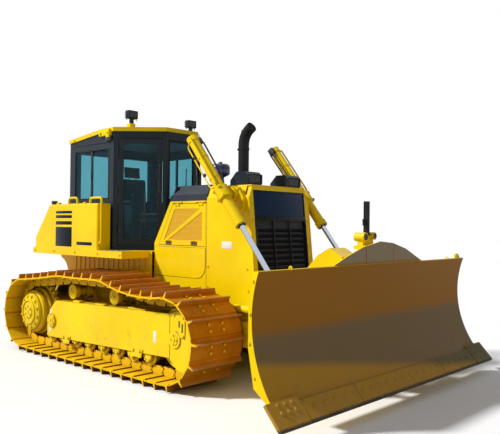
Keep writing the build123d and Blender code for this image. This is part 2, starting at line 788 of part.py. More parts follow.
def dashboard():
    post_shape = prism_y(((1420, cab_floor), (1620, cab_floor), (1620, 1900), (1540, 2010),
                          (1440, 1960), (1500, 1880)), -170, 170)
    screen = prism_y(((1440, 2000), (1470, 1985), (1545, 2150), (1515, 2165)), -130, 130)
    stand = prism_y(((1480, 1960), (1530, 1960), (1530, 2070), (1500, 2060)), -40, 40)
    return post_shape + stand + screen


# Blade: the board's front face is an arc through three points, then straight to the edge
edge_slope = Vector(172, 0, -188).normalized()
edge_plate = 26.0
edge_bend = 290.0             # from the tip up to where the board begins to curve


def edge_at(along, out):
    # on the cutting edge: distance up from the tip, and out from its back face
    normal = Vector(-edge_slope.Z, 0, edge_slope.X)
    tip = Vector(edge_tip[0], 0, edge_tip[1])
    point = tip - edge_slope * along - normal * (edge_plate - out)
    return point.X, point.Z


board_arc = ((4938.0, blade_top), (4866.0, 950.0), edge_at(edge_bend, 0))


def arc_through(a, b, c):
    # centre and radius of the circle through three points
    d = 2 * (a[0] * (b[1] - c[1]) + b[0] * (c[1] - a[1]) + c[0] * (a[1] - b[1]))
    sq = [p[0] ** 2 + p[1] ** 2 for p in (a, b, c)]
    x = (sq[0] * (b[1] - c[1]) + sq[1] * (c[1] - a[1]) + sq[2] * (a[1] - b[1])) / d
    z = (sq[0] * (c[0] - b[0]) + sq[1] * (a[0] - c[0]) + sq[2] * (b[0] - a[0])) / d
    return x, z, math.hypot(a[0] - x, a[1] - z)


arc_x, arc_z, arc_radius = arc_through(*board_arc)


def board_x(z, behind=0.0):
    # station of the board's face, or of a surface behind it, at a height
    reach = arc_radius + behind
    return arc_x - math.sqrt(reach ** 2 - (z - arc_z) ** 2)


def board_line(low, high, behind, count=10):
    return [(board_x(low + (high - low) * i / count, behind), low + (high - low) * i / count)
            for i in range(count + 1)]


def mouldboard():
    top, middle, low = [Vector(x, -blade_half, z) for x, z in board_arc]
    centre = Vector(arc_x, -blade_half, arc_z)
    foot = low + edge_slope * (edge_bend - 70)

    def back(point):
        return point + (point - centre).normalized() * board
    foot_back = foot + Vector(edge_slope.Z, 0, -edge_slope.X) * board
    edges = [ThreePointArc(top, middle, low), Line(low, foot), Line(foot, foot_back),
             Line(foot_back, back(low)), ThreePointArc(back(low), back(middle), back(top)),
             Line(back(top), top)]
    return extrude(make_face(edges), amount=2 * blade_half, dir=(0, 1, 0))


def blade():
    body = mouldboard()
    depth = board / 2
    # box stiffeners along the back, at the top edge and above the cutting edge
    for low, high, rear, half in ((1290, 1400, 4815, 1760), (430, 620, 4800, 1600)):
        outline = board_line(low, high, depth) + [(rear, high - 15), (rear, low + 25)]
        body += prism_y(outline, -half, half)
    for y in rib_places:
        outline = board_line(600, 1310, depth) + [(rib_back, 1230), (rib_back, 660)]
        body += prism_y(outline, y - 12, y + 12)
    # end plates
    plate = board_line(400, blade_top, depth) + [(4885, blade_top), (4826, 1150), (4826, 760),
                                                  (4892, 430), edge_at(80, 0),
                                                  edge_at(edge_bend - 8, 0)]
    for low in (-blade_half, blade_half - 25):
        body += prism_y(plate, low, low + 25)
    # spill guard over the middle, lapped on the top stiffener
    guard = prism_x(hump, guard_x, guard_x + guard_sheet)
    body += guard
    for y in (-272, 268):
        body += prism_y(((guard_x - 20, 1395), (guard_x + 5, 1395), (guard_x + 5, 1560),
                         (guard_x - 10, 1560)), y - 8, y + 8)
    # trunnion box with the lengthwise bore
    box = block((trunnion_face, 4860), (-150, 150), (tilt_z - 150, tilt_z + 95))
    body += box
    body -= bar((trunnion_face - 1, 0, tilt_z), (4845, 0, tilt_z), tilt_pin + pin_gap)
    # ears for the tilt cylinder's rod
    y, z = tilt_eye
    far = y - 105
    body += prism_z(((ear_rear(-1), far), (board_x(z, depth), far), (board_x(z, depth), far + 22),
                     (ear_rear(-1), far + 22)), z - 62, z + 62)
    for side in (-1, 1):
        x = sorted((ear_rear(side), ear_rear(side) + side * ear_plate))
        body += block(x, (far, y + 45), (z - 62, z + 62))
    return body


def ear_rear(side):
    # inner face of one ear of a pair about the tilt cylinder's eye
    return tilt_x + side * (eye_width / 2 + eye_gap)


def cutting_edge():
    outline = [edge_at(0, edge_plate), edge_at(0, 6), edge_at(30, 0), edge_at(225, 0),
               edge_at(225, edge_plate - 6), edge_at(218, edge_plate)]
    middle = prism_y(outline, -edge_half + 405, edge_half - 405)
    bit = [edge_at(0, edge_plate + 4), edge_at(0, 4), edge_at(30, 0), edge_at(260, 0),
           edge_at(260, edge_plate + 4)]
    end = prism_y(bit, edge_half - 400, edge_half)
    seam = prism_y(outline, edge_half - 406, edge_half - 399)
    return middle + end + other_side(end) + seam + other_side(seam)


def mast():
    # bracket on the spill guard, twin round clamps and the square post
    x, y = mast_x, mast_y
    shelf = block((x - 60, guard_x), (y - 150, y + 80), (mast_low - 40, mast_low))
    top = mast_low + 100
    clamp = bar((x - 62, y - 105, top - 10), (x + 62, y - 105, top - 10), 48)
    clamp += bar((x - 62, y + 66, top), (x + 62, y + 66, top), 40)
    saddle = block((x - 34, x + 34), (y - 120, y + 80), (mast_low, top))
    post_bar = block((x - 24, x + 24), (y - 24, y + 24), (top, top + mast_height))
    knob = bar((x, y - 24, top + 160), (x, y - 62, top + 160), 14)
    knob += bar((x, y - 62, top + 110), (x, y - 62, top + 180), 9)
    return shelf + saddle + clamp, post_bar + knob


# C-frame
def c_frame():
    arm = prism_y(((lift_x, lift_z - 128), (3860, arm_low), (3960, arm_low), (3960, beam_high),
                   (3560, arm_high + 20), (2500, arm_high), (lift_x, lift_z + 128)),
                  arm_inner, arm_outer)
    arm += bar((lift_x, arm_inner, lift_z), (lift_x, arm_outer, lift_z), 128)
    arm -= bar((lift_x, arm_inner - 1, lift_z), (lift_x, arm_outer + 1, lift_z),
               trunnion_pin + pin_gap)
    beam = prism_y(((3900, beam_low + 40), (3960, beam_low), (4240, beam_low), (4290, beam_low + 60),
                    (4290, beam_high - 30), (4260, beam_high), (3930, beam_high),
                    (3900, beam_high - 40)), -beam_half, beam_half)
    body = beam + arm + other_side(arm)
    # forked nose for the yoke's upright pin
    for low, high in ((beam_low, beam_low + nose_plate), (beam_high - nose_plate, beam_high)):
        nose = prism_z(((4200, -420), (angle_x, -nose_radius), (angle_x, nose_radius), (4200, 420)),
                       low, high)
        nose += bar((angle_x, 0, low), (angle_x, 0, high), nose_radius)
        nose -= bar((angle_x, 0, low - 1), (angle_x, 0, high + 1), upright_pin + pin_gap)
        body += nose
    # ears for the lift rods
    x, z = lift_eye
    outline = ((4080, beam_high), (4270, beam_high), (x + 60, z - 45), (x + 66, z + 15),
               (x + 30, z + 62), (x - 35, z + 60))
    for side in (-1, 1):
        for inner in (-1, 1):
            middle = side * lift_y + inner * (eye_width / 2 + eye_gap + ear_plate / 2)
            body += prism_y(outline, middle - ear_plate / 2, middle + ear_plate / 2)
    # brackets for the angle cylinders on the arms
    x, y = angle_base
    for side in (-1, 1):
        for low in (angle_z - eye_width / 2 - eye_gap - ear_plate, angle_z + eye_width / 2 + eye_gap):
            body += block((x - 75, x + 45), (side * y - 45, side * y + 45), (low, low + ear_plate))
        reach = eye_width / 2 + eye_gap + ear_plate
        body += block((x - 120, x - 70), (side * y - 45, side * y + 45),
                      (arm_high - 5, angle_z + reach))
        body += bar((x, side * y, angle_z - reach - 5), (x, side * y, angle_z + reach + 5), eye_pin)
    return body


def blade_yoke():
    # turns on the upright pin in the nose; carries the blade's lengthwise pin
    low, high = beam_low + nose_plate + 5, beam_high - nose_plate - 5
    body = bar((angle_x, 0, low), (angle_x, 0, high), nose_radius)
    body += block((angle_x, yoke_front), (-nose_radius, nose_radius), (low, high))
    body += bar((angle_x, 0, beam_low - 12), (angle_x, 0, beam_high + 5), upright_pin)
    body += block((angle_x + nose_radius + 8, yoke_front), (-nose_radius, nose_radius),
                  (low, wing_high))
    body += bar((yoke_front - 1, 0, tilt_z), (4835, 0, tilt_z), tilt_pin)
    # wings with ears for the angle rods
    x, y = angle_eye
    body += block((wing_rear, yoke_front), (-wing_half, wing_half), (wing_low, wing_high))
    for side in (-1, 1):
        for inner in (-1, 1):
            middle = angle_z + inner * (eye_width / 2 + eye_gap + ear_plate / 2)
            body += block((x - 50, wing_rear + 1), (side * y - 52, side * y + 52),
                          (middle - ear_plate / 2, middle + ear_plate / 2))
    # guard over the middle: two cheeks under one bent plate
    body += block((4400, yoke_front), (-nose_radius, nose_radius), (beam_high + 5, wing_high))
    cheek = ((4400, wing_high - 1), (4530, wing_high - 1), (4530, 1470), (4360, 1560),
             (4200, 1475), (4040, 1310), (4050, 1270), (4200, 1100))
    for low in (-150, 138):
        body += prism_y(cheek, low, low + 12)
    body += block((4400, 4530), (-150, 150), (wing_high - 30, wing_high))
    cover_plate = ((4530, 1470), (4360, 1560), (4200, 1475), (4040, 1310), (4049, 1302),
                   (4206, 1463), (4360, 1544), (4530, 1454))
    body += prism_y(cover_plate, -150, 150)
    # ears for the tilt cylinder's base, on a shelf behind the wing
    y, z = tilt_base
    body += block((ear_rear(-1) - ear_plate, wing_rear + 1), (y - 44, y + 44),
                  (wing_high - 30, wing_high))
    for side in (-1, 1):
        x = sorted((ear_rear(side), ear_rear(side) + side * ear_plate))
        body += block(x, (y - 44, y + 44), (wing_high - 1, z + 50))
    return body + bar((ear_rear(-1) - ear_plate - 5, y, z), (ear_rear(1) + ear_plate + 5, y, z),
                      eye_pin)


# Cylinders, each drawn along +X from its base with its eyes' pins along Z, then set in place
def barrel(length, radius, bore, bore_start, base_eye):
    body = bar((0, 0, 0), (length, 0, 0), radius)
    body += bar((length - 70, 0, 0), (length, 0, 0), radius + 9)
    if base_eye:
        body += bar((0, 0, -eye_width / 2), (0, 0, eye_width / 2), base_eye)
        flat = base_eye * 1.3
        for low, high in ((eye_width / 2, radius + 1), (-radius - 1, -eye_width / 2)):
            body -= block((-flat, flat), (-flat, flat), (low, high))
        body -= bar((0, 0, -radius), (0, 0, radius), eye_pin + pin_gap)
    return body - bar((bore_start, 0, 0), (length + 1, 0, 0), bore)


def rod(start, end, radius, eye):
    body = bar((start, 0, 0), (end - eye * 0.8, 0, 0), radius)
    return body + bar((end, 0, -eye_width / 2), (end, 0, eye_width / 2), eye)


def lift_cylinder():
    start, end = (lift_head[0], lift_y, lift_head[1]), (lift_eye[0], lift_y, lift_eye[1])
    length = math.dist(start, end)
    at_pin = math.dist(lift_head, lift_trunnion)
    body = barrel(lift_length, lift_bore, lift_rod + seal_gap, lift_blind, 0)
    body += bar((-8, 0, 0), (60, 0, 0), lift_bore + 8)
    body += bar((at_pin - 75, 0, 0), (at_pin + 75, 0, 0), lift_bore + 24) \
        - bar((at_pin - 76, 0, 0), (at_pin + 76, 0, 0), lift_bore - 5)
    line = rod(lift_length - 480, length, lift_rod, 66)
    # feed pipe along the barrel
    feed = pipe(((30, -20, lift_bore), (30, -45, lift_bore + 26), (at_pin - 110, -45, lift_bore + 26),
                 (at_pin - 110, -20, lift_bore - 10)), 11, 18)
    body += feed
    return body, line


def set_lift(shape, side):
    direction = Vector(lift_eye[0] - lift_head[0], 0, lift_eye[1] - lift_head[1]).normalized()
    plane = Plane(origin=(lift_head[0], side * lift_y, lift_head[1]), x_dir=direction,
                  z_dir=(0, side, 0))
    return plane.location * shape


def angle_cylinder(side):
    start = Vector(angle_base[0], side * angle_base[1], angle_z)
    end = Vector(angle_eye[0], side * angle_eye[1], angle_z)
    plane = Plane(origin=start, x_dir=(end - start).normalized(), z_dir=(0, 0, 1))
    body = barrel(980, 46, 24 + seal_gap, 380, 46)
    line = rod(660, (end - start).length, 24, 46)
    return plane.location * body, plane.location * line


def tilt_cylinder():
    start = Vector(tilt_x, *tilt_base)
    end = Vector(tilt_x, *tilt_eye)
    plane = Plane(origin=start, x_dir=(end - start).normalized(), z_dir=(1, 0, 0))
    body = barrel(560, 48, 24 + seal_gap, 330, 48)
    line = rod(400, (end - start).length, 24, 46)
    return plane.location * body, plane.location * line



pins_track = track()
ring, idler = wheel_parts()
frame_body = track_frame()
drive = final_drive()
drive_body = drive[0] + drive[1] + drive[2]
at_right = Pos(0, -half_gauge, 0)


def on_right(shape):
    # running gear is drawn about its own middle with +Y outward
    return at_right * other_side(shape)


save("track_right", on_right(pins_track))
save("track_left", other_side(on_right(pins_track)))
save("track_frame_right", on_right(frame_body))
save("track_frame_left", other_side(on_right(frame_body)))


def both(shape):
    right = on_right(shape)
    return [right, other_side(right)]


save("sprockets", *both(ring))
save("final_drives", *both(drive_body))
save("idlers", *both(idler))
save("track_rollers", *[s for r in rollers() for s in both(r)])
carriers = [carrier(x, z) for x, z in carrier_tops]
save("carrier_rollers", *[s for c in carriers for s in both(c)])

save("main_frame", main_frame())
save("drawbar", drawbar())
save("engine", block(engine_x, (-engine_half, engine_half), (engine_low, engine_top)))
save("platform", platform())
save("fuel_tank", fuel_tank())
tank = side_tank()
save("side_tanks", tank, other_side(tank))
hoops = rails()
save("handrails", *hoops, *[other_side(h) for h in hoops])
wall = side_cover()
hinges = door_hinges()
wall += hinges
save("side_covers", wall, other_side(wall))
door = hood_door()
save("hood_door_left", door)
save("hood_door_right", other_side(door))
save("hood", hood())
save("radiator_guard", radiator_guard())
save("front_mask", front_mask())
save("grille", grille())
lamp, lamp_glass = lamp_boxes()
roof_case, roof_glass = roof_lamp()
save("work_lamps", *[s for p in (lamp, roof_case) for s in (p, other_side(p))])
save("lamp_lenses", *[s for p in (lamp_glass, roof_glass) for s in (p, other_side(p))])
save("exhaust_pipe", exhaust())
save("air_precleaner", precleaner())
save("cab_frame", cab_frame())
save("cab_roof", cab_roof())
save("cab_glass", *cab_panes())
door, pane = cab_door()
save("cab_door_right", door)
save("cab_door_left", other_side(door))
save("door_glass_right", pane)
save("door_glass_left", other_side(pane))
save("seat", seat())
arm = consoles()
save("cab_consoles", arm, other_side(arm))
save("dashboard", dashboard())
save("c_frame", c_frame())
save("blade_yoke", blade_yoke())
save("blade", blade())
save("cutting_edge", cutting_edge())
clamp, post_bar = mast()
save("mast_clamp", clamp)
save("mast", post_bar)
lift_barrel, lift_line = lift_cylinder()
stub_start, stub_end = lift_y - lift_bore, wall_half + 6
stub = bar((lift_trunnion[0], stub_start - 15, lift_trunnion[1]),
           (lift_trunnion[0], stub_end, lift_trunnion[1]), trunnion_stub)
left_barrel = set_lift(lift_barrel, 1) + stub
save("lift_barrel_left", left_barrel)
save("lift_barrel_right", other_side(left_barrel))
save("lift_rod_left", set_lift(lift_line, 1))
save("lift_rod_right", other_side(set_lift(lift_line, 1)))
for name, side in (("left", 1), ("right", -1)):
    angle_barrel, angle_line = angle_cylinder(side)
    save("angle_barrel_" + name, angle_barrel)
    save("angle_rod_" + name, angle_line)
tilt_barrel, tilt_line = tilt_cylinder()
save("tilt_barrel", tilt_barrel)
save("tilt_rod", tilt_line)
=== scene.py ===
import math
import bpy
import bmesh
from mathutils import Matrix, Vector


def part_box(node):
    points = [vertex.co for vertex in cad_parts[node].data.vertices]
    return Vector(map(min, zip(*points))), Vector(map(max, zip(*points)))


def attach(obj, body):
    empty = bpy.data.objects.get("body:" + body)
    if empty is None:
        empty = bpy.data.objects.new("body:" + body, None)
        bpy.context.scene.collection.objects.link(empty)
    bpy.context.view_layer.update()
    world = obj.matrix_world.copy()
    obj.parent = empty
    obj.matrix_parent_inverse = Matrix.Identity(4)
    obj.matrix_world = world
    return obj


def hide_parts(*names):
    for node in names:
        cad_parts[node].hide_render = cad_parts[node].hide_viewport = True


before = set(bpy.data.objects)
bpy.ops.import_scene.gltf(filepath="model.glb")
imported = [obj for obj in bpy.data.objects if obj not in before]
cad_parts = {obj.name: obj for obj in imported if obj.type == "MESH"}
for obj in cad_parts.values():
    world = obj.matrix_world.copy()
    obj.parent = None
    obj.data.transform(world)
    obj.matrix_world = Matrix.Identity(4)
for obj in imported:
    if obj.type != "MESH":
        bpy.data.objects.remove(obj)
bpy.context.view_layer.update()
print("frame loaded:", len(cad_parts), "nodes")


def mathsNode(operation, swapped=False):
    # an operator that adds a Math node to the finish of the signal it meets
    def join(first, second):
        pair = (second, first) if swapped else (first, second)
        return first.finish.add("ShaderNodeMath", {"operation": operation}, dict(enumerate(pair)))
    return join


class Signal:
    # a wrapped shader socket: + - * / > and abs on it add Math nodes
    def __init__(self, finish, socket):
        self.finish = finish
        self.socket = socket

    __add__ = __radd__ = mathsNode("ADD")
    __sub__ = mathsNode("SUBTRACT")
    __rsub__ = mathsNode("SUBTRACT", swapped=True)
    __mul__ = __rmul__ = mathsNode("MULTIPLY")
    __truediv__ = mathsNode("DIVIDE")
    __gt__ = mathsNode("GREATER_THAN")

    def __abs__(self):
        return self.finish.add("ShaderNodeMath", {"operation": "ABSOLUTE"}, {0: self})

    def clipped(self, low=0.0, high=1.0):
        smooth = {"clamp": True, "interpolation_type": "SMOOTHSTEP"}
        return self.finish.add("ShaderNodeMapRange", smooth, {0: self, 1: low, 2: high})


class Finish:
    def __init__(self, name, **sockets):
        self.material = bpy.data.materials.new(name)
        self.material.use_nodes = True
        self.nodes = self.material.node_tree.nodes
        self.links = self.material.node_tree.links
        self.nodes.clear()
        self.surface = self.nodes.new("ShaderNodeBsdfPrincipled")
        self.result = self.nodes.new("ShaderNodeOutputMaterial")
        self.links.new(self.surface.outputs[0], self.result.inputs[0])
        self.show(**sockets)
        self.place = self.add("ShaderNodeTexCoord", output="Object")

    def feed(self, socket, value):
        if isinstance(value, Signal):
            self.links.new(value.socket, socket)
        elif socket.type == "RGBA":
            socket.default_value = (*value, 1.0)
        else:
            socket.default_value = value

    def add(self, kind, settings=None, values=None, output=0):
        node = self.nodes.new(kind)
        for key, value in (settings or {}).items():
            setattr(node, key, value)
        for key, value in (values or {}).items():
            self.feed(node.inputs[key], value)
        return Signal(self, node.outputs[output])

    def show(self, **sockets):
        for socket, value in sockets.items():
            self.feed(self.surface.inputs[socket.replace("_", " ")], value)
        return self.material

    def noise(self, scale, detail=4.0, stretch=None):
        place = self.place
        if stretch:
            place = self.add("ShaderNodeMapping", {}, {"Vector": place, "Scale": stretch})
        return self.add("ShaderNodeTexNoise", {}, {"Vector": place, "Scale": scale,
                                                   "Detail": detail, "Roughness": 0.6})

    def mix(self, share, first, second):
        return self.add("ShaderNodeMix", {"data_type": "RGBA"}, {0: share, 6: first, 7: second}, 2)

    def part(self, vector, letter):
        return self.add("ShaderNodeSeparateXYZ", {}, {0: vector}, "XYZ".index(letter))

    def axis(self, letter):
        return self.part(self.place, letter)

    def facing(self, letter):
        return self.part(self.add("ShaderNodeTexCoord", output="Normal"), letter)

    def holes(self, first, second, scale):
        # distance from the nearest hole on a square grid in the plane of two axes
        spot = self.add("ShaderNodeCombineXYZ", {}, {0: self.axis(first), 1: self.axis(second)})
        return self.add("ShaderNodeTexVoronoi", {"voronoi_dimensions": "2D"},
                        {"Vector": spot, "Scale": scale, "Randomness": 0.0})

    def edges(self, width):
        # 0 on flats, near 1 along convex and concave edges
        rounded = self.add("ShaderNodeBevel", {"samples": 4}, {"Radius": width})
        normal = self.add("ShaderNodeNewGeometry", output="Normal")
        same = self.add("ShaderNodeVectorMath", {"operation": "DOT_PRODUCT"},
                        {0: rounded, 1: normal}, "Value")
        return (1.0 - same).clipped(0.02, 0.12)

    def shadeInGaps(self, reach):
        # 1 deep in a gap, 0 on open faces; used to paint shade into gaps
        clear = self.add("ShaderNodeAmbientOcclusion", {"samples": 6}, {"Distance": reach}, "AO")
        return (1.0 - clear).clipped(0.40, 0.90)

    def bump(self, height, depth, distance=0.001):
        self.show(Normal=self.add("ShaderNodeBump", {}, {"Height": height, "Strength": depth,
                                                         "Distance": distance}))


# the last colour is painted into gaps as shade, also standing for packed soil
dust = {"colour": (0.42, 0.30, 0.15), "mud": (0.20, 0.13, 0.06), "mudTop": 1.1,
        "gapShadeSoil": (0.16, 0.060, 0.006)}
# steel is the dark colour painted along the cutting tip as shade
enamel = {"broad": 1.3, "fine": 26.0, "peel": 220.0, "powder": 4.0, "splash": 9.0,
          "scratch": 38.0, "chip": 0.006, "gap": 0.45, "steel": (0.045, 0.040, 0.036)}
punch = {"doorScale": 65.0, "grilleScale": 70.0, "doorHole": (0.16, 0.085, 0.01),
         "doorSheet": (0.88, 0.48, 0.025), "grilleHole": (0.002, 0.002, 0.002)}


def paint(name, colour, rough=0.34, wear=0.5, soil=0.5, bare=(0.16, 0.13, 0.10), recess=None,
          stainsAndShade=None, tip=0.0, gloss=0.05, shine=0.12, gapShadeAndSoil=0.0):
    # sprayed enamel: orange peel, chipped edges, dust on what faces up and soil low down
    finish = Finish(name, Roughness=rough, Coat_Roughness=0.2, Coat_IOR=1.4,
                    Specular_IOR_Level=shine)
    broad, fine = finish.noise(enamel["broad"], 3.0), finish.noise(enamel["fine"], 5.0)
    deep = tuple(c * 0.86 for c in colour)
    shade = finish.mix(broad.clipped(0.35, 0.7), deep, colour)
    if recess:      # punched panel set back behind the door's frame
        holes = finish.holes("X", "Z", punch["doorScale"]).clipped(0.26, 0.36)
        punched = finish.mix(holes, punch["doorHole"], punch["doorSheet"])
        shade = finish.mix(recess - abs(finish.axis("Y")) > 0.0, shade, punched)
    if stainsAndShade:      # working face: colour bands by height stand in for its shading: the grey middle band is a painted reflection, the lighter band low down with a slanting edge is painted sunlight, and the dark part on the cutting edge is painted shade; the brown is partly soil stain
        facingFront = finish.facing("X").clipped(0.25, 0.5)
        streak = finish.noise(1.6, 5.0, stretch=(1.0, 0.35, 2.2))
        height = finish.axis("Z") + (streak - 0.5) * 0.10
        litLowBand = 1.0 - (height + (finish.axis("Y") + 1.9) * 0.13).clipped(0.58, 0.68)
        stain = finish.mix(height.clipped(0.80, 0.92), stainsAndShade["middle"], stainsAndShade["high"])
        stain = finish.mix(litLowBand, stain, stainsAndShade["low"])
        stain = finish.mix(finish.axis("Z").clipped(1.41, 1.45), stain, stainsAndShade["crest"])
        shade = finish.mix(facingFront, shade, stain)
    if tip:         # dark band along the cutting tip: painted shade of the tip's bevel, in the colour of bare steel
        tipShade = 1.0 - (finish.axis("Z") + (fine - 0.5) * 0.02).clipped(tip - 0.01, tip + 0.01)
        shade = finish.mix(tipShade, shade, enamel["steel"])
    up = finish.facing("Z").clipped(0.35, 0.95)
    low = (1.0 - finish.axis("Z") / dust["mudTop"]).clipped(0.0, 1.0)
    cloud = finish.noise(enamel["powder"], 6.0).clipped(0.35, 0.75)
    powder = (up * 0.55 + low * 0.5) * cloud * soil
    shade = finish.mix(powder, shade, dust["colour"])
    splash = low * finish.noise(enamel["splash"], 8.0).clipped(0.56, 0.72) * soil
    shade = finish.mix(splash, shade, dust["mud"])
    chips = finish.edges(enamel["chip"]) * fine.clipped(0.50, 0.62) * wear
    scratch = finish.noise(enamel["scratch"], 2.0, stretch=(1.0, 1.0, 0.12))
    scratch = scratch.clipped(0.70, 0.78) * wear * 0.5
    shade = finish.mix(chips + scratch * low, shade, bare)
    if gapShadeAndSoil:       # painted shade deep in the gaps, from ambient occlusion, also standing for packed soil
        shade = finish.mix(finish.shadeInGaps(enamel["gap"]) * gapShadeAndSoil, shade, dust["gapShadeSoil"])
    finish.bump(finish.noise(enamel["peel"], 2.0) + fine * 0.6, 0.05 + wear * 0.05)
    coarse = rough + powder * 0.5 + splash * 0.4 + chips * 0.2 + (broad - 0.5) * 0.12
    return finish.show(Base_Color=shade, Roughness=coarse.clipped(0.0, 1.0),
                       Coat_Weight=(1.0 - powder - splash).clipped(0.0, 1.0) * gloss)


def screening(name, colour):
    # punched sheet: round holes on a square grid in the sheet's own plane
    finish = Finish(name, Metallic=0.6)
    solid = finish.holes("Y", "Z", punch["grilleScale"]).clipped(0.28, 0.42)
    finish.bump(solid, 0.6, 0.002)
    return finish.show(Base_Color=finish.mix(solid, punch["grilleHole"], colour),
                       Roughness=0.45 + finish.noise(12.0) * 0.2)


def metal(name, colour, rough, grain=(1.0, 1.0, 1.0), stain=0.3):
    finish = Finish(name, Metallic=1.0)
    lines = finish.noise(180.0, 3.0, stretch=grain)
    cloud = finish.noise(6.0, 6.0)
    shade = finish.mix(cloud.clipped(0.45, 0.75) * stain, colour, tuple(c * 0.4 for c in colour))
    finish.bump(lines, 0.08)
    return finish.show(Base_Color=shade,
                       Roughness=rough + (lines - 0.5) * 0.15 + cloud * stain * 0.3)


def plastic(name, colour, rough, grain=300.0, dusty=0.2):
    finish = Finish(name, Specular_IOR_Level=0.4)
    cells = finish.add("ShaderNodeTexVoronoi", {}, {"Vector": finish.place, "Scale": grain})
    cloud = finish.noise(7.0, 6.0)
    up = finish.facing("Z").clipped(0.2, 1.0)
    shade = finish.mix(up * cloud.clipped(0.4, 0.8) * dusty, colour, dust["colour"])
    finish.bump(cells, 0.15)
    return finish.show(Base_Color=shade, Roughness=rough + (cloud - 0.5) * 0.2)


def fabric(name, colour):
    finish = Finish(name, Sheen_Weight=0.4, Sheen_Roughness=0.5)
    warp, weft = (finish.add("ShaderNodeTexWave", {"bands_direction": letter},
                             {"Vector": finish.place, "Scale": 160.0, "Distortion": 1.0})
                  for letter in "YZ")
    weave = warp * weft
    shade = finish.mix(weave, tuple(c * 0.5 for c in colour), colour)
    shade = finish.mix(finish.noise(5.0, 6.0).clipped(0.5, 0.9) * 0.3, shade, dust["colour"])
    finish.bump(weave, 0.4)
    return finish.show(Base_Color=shade, Roughness=0.75 + weave * 0.2)


def glazing(name, tint, colour, share, rough=0.03):
    # tinted see-through glass with a thin film of dust over it
    finish = Finish(name, Specular_IOR_Level=0.8)
    film = finish.noise(3.0, 6.0).clipped(0.45, 0.85)
    clear = finish.add("ShaderNodeBsdfTransparent", {}, {0: tint})
    solid = Signal(finish, finish.surface.outputs[0])
    both = finish.add("ShaderNodeMixShader", {}, {0: share + film * 0.08, 1: clear, 2: solid})
    finish.feed(finish.result.inputs[0], both)
    return finish.show(Base_Color=finish.mix(film * 0.15, colour, dust["colour"]),
                       Roughness=rough + film * 0.06)


# the gap reach sets the painted shade in the chain's gaps
trackWearAndShade = {"shades": ((0.57, 0.190, 0.004), (0.72, 0.270, 0.006)), "soil": (0.27, 0.14, 0.04),
          "bare": (0.34, 0.27, 0.20), "gap": 0.40, "edge": 0.005}


def trackFinish(name, colour):
    # the rub attribute is 0.5 on the outer faces and 1 where shoes and rails run bare
    finish = Finish(name, Specular_IOR_Level=0.08)
    rub = finish.add("ShaderNodeAttribute", {"attribute_name": "rub"}, {}, "Fac")
    cloud, fine = finish.noise(3.0, 6.0), finish.noise(34.0, 6.0)
    # faces turned sideways keep the yellow: painted light, as side faces catch the sun; other
    # outer faces get the orange-brown stain
    ends = abs(finish.facing("Y")).clipped(0.6, 0.9)
    outer = finish.mix(cloud.clipped(0.35, 0.7), *trackWearAndShade["shades"])
    shade = finish.mix(rub.clipped(0.15, 0.45) * (1.0 - ends), colour, outer)
    soil = cloud * fine.clipped(0.42, 0.7) * 0.4
    shade = finish.mix(soil, shade, trackWearAndShade["soil"])
    bright = rub.clipped(0.6, 1.0) + finish.edges(trackWearAndShade["edge"]) * 0.2
    bright = bright * fine.clipped(0.42, 0.62)
    shade = finish.mix(bright.clipped(0.0, 1.0), shade, trackWearAndShade["bare"])
    # painted shade deep in the chain's gaps, from ambient occlusion, also standing for packed soil
    shade = finish.mix(finish.shadeInGaps(trackWearAndShade["gap"]) * 0.8, shade, dust["gapShadeSoil"])
    finish.bump(fine, 0.25, 0.002)
    return finish.show(Base_Color=shade, Metallic=bright.clipped(0.0, 1.0) * 0.7,
                       Roughness=0.5 + soil * 0.3 - bright * 0.1)


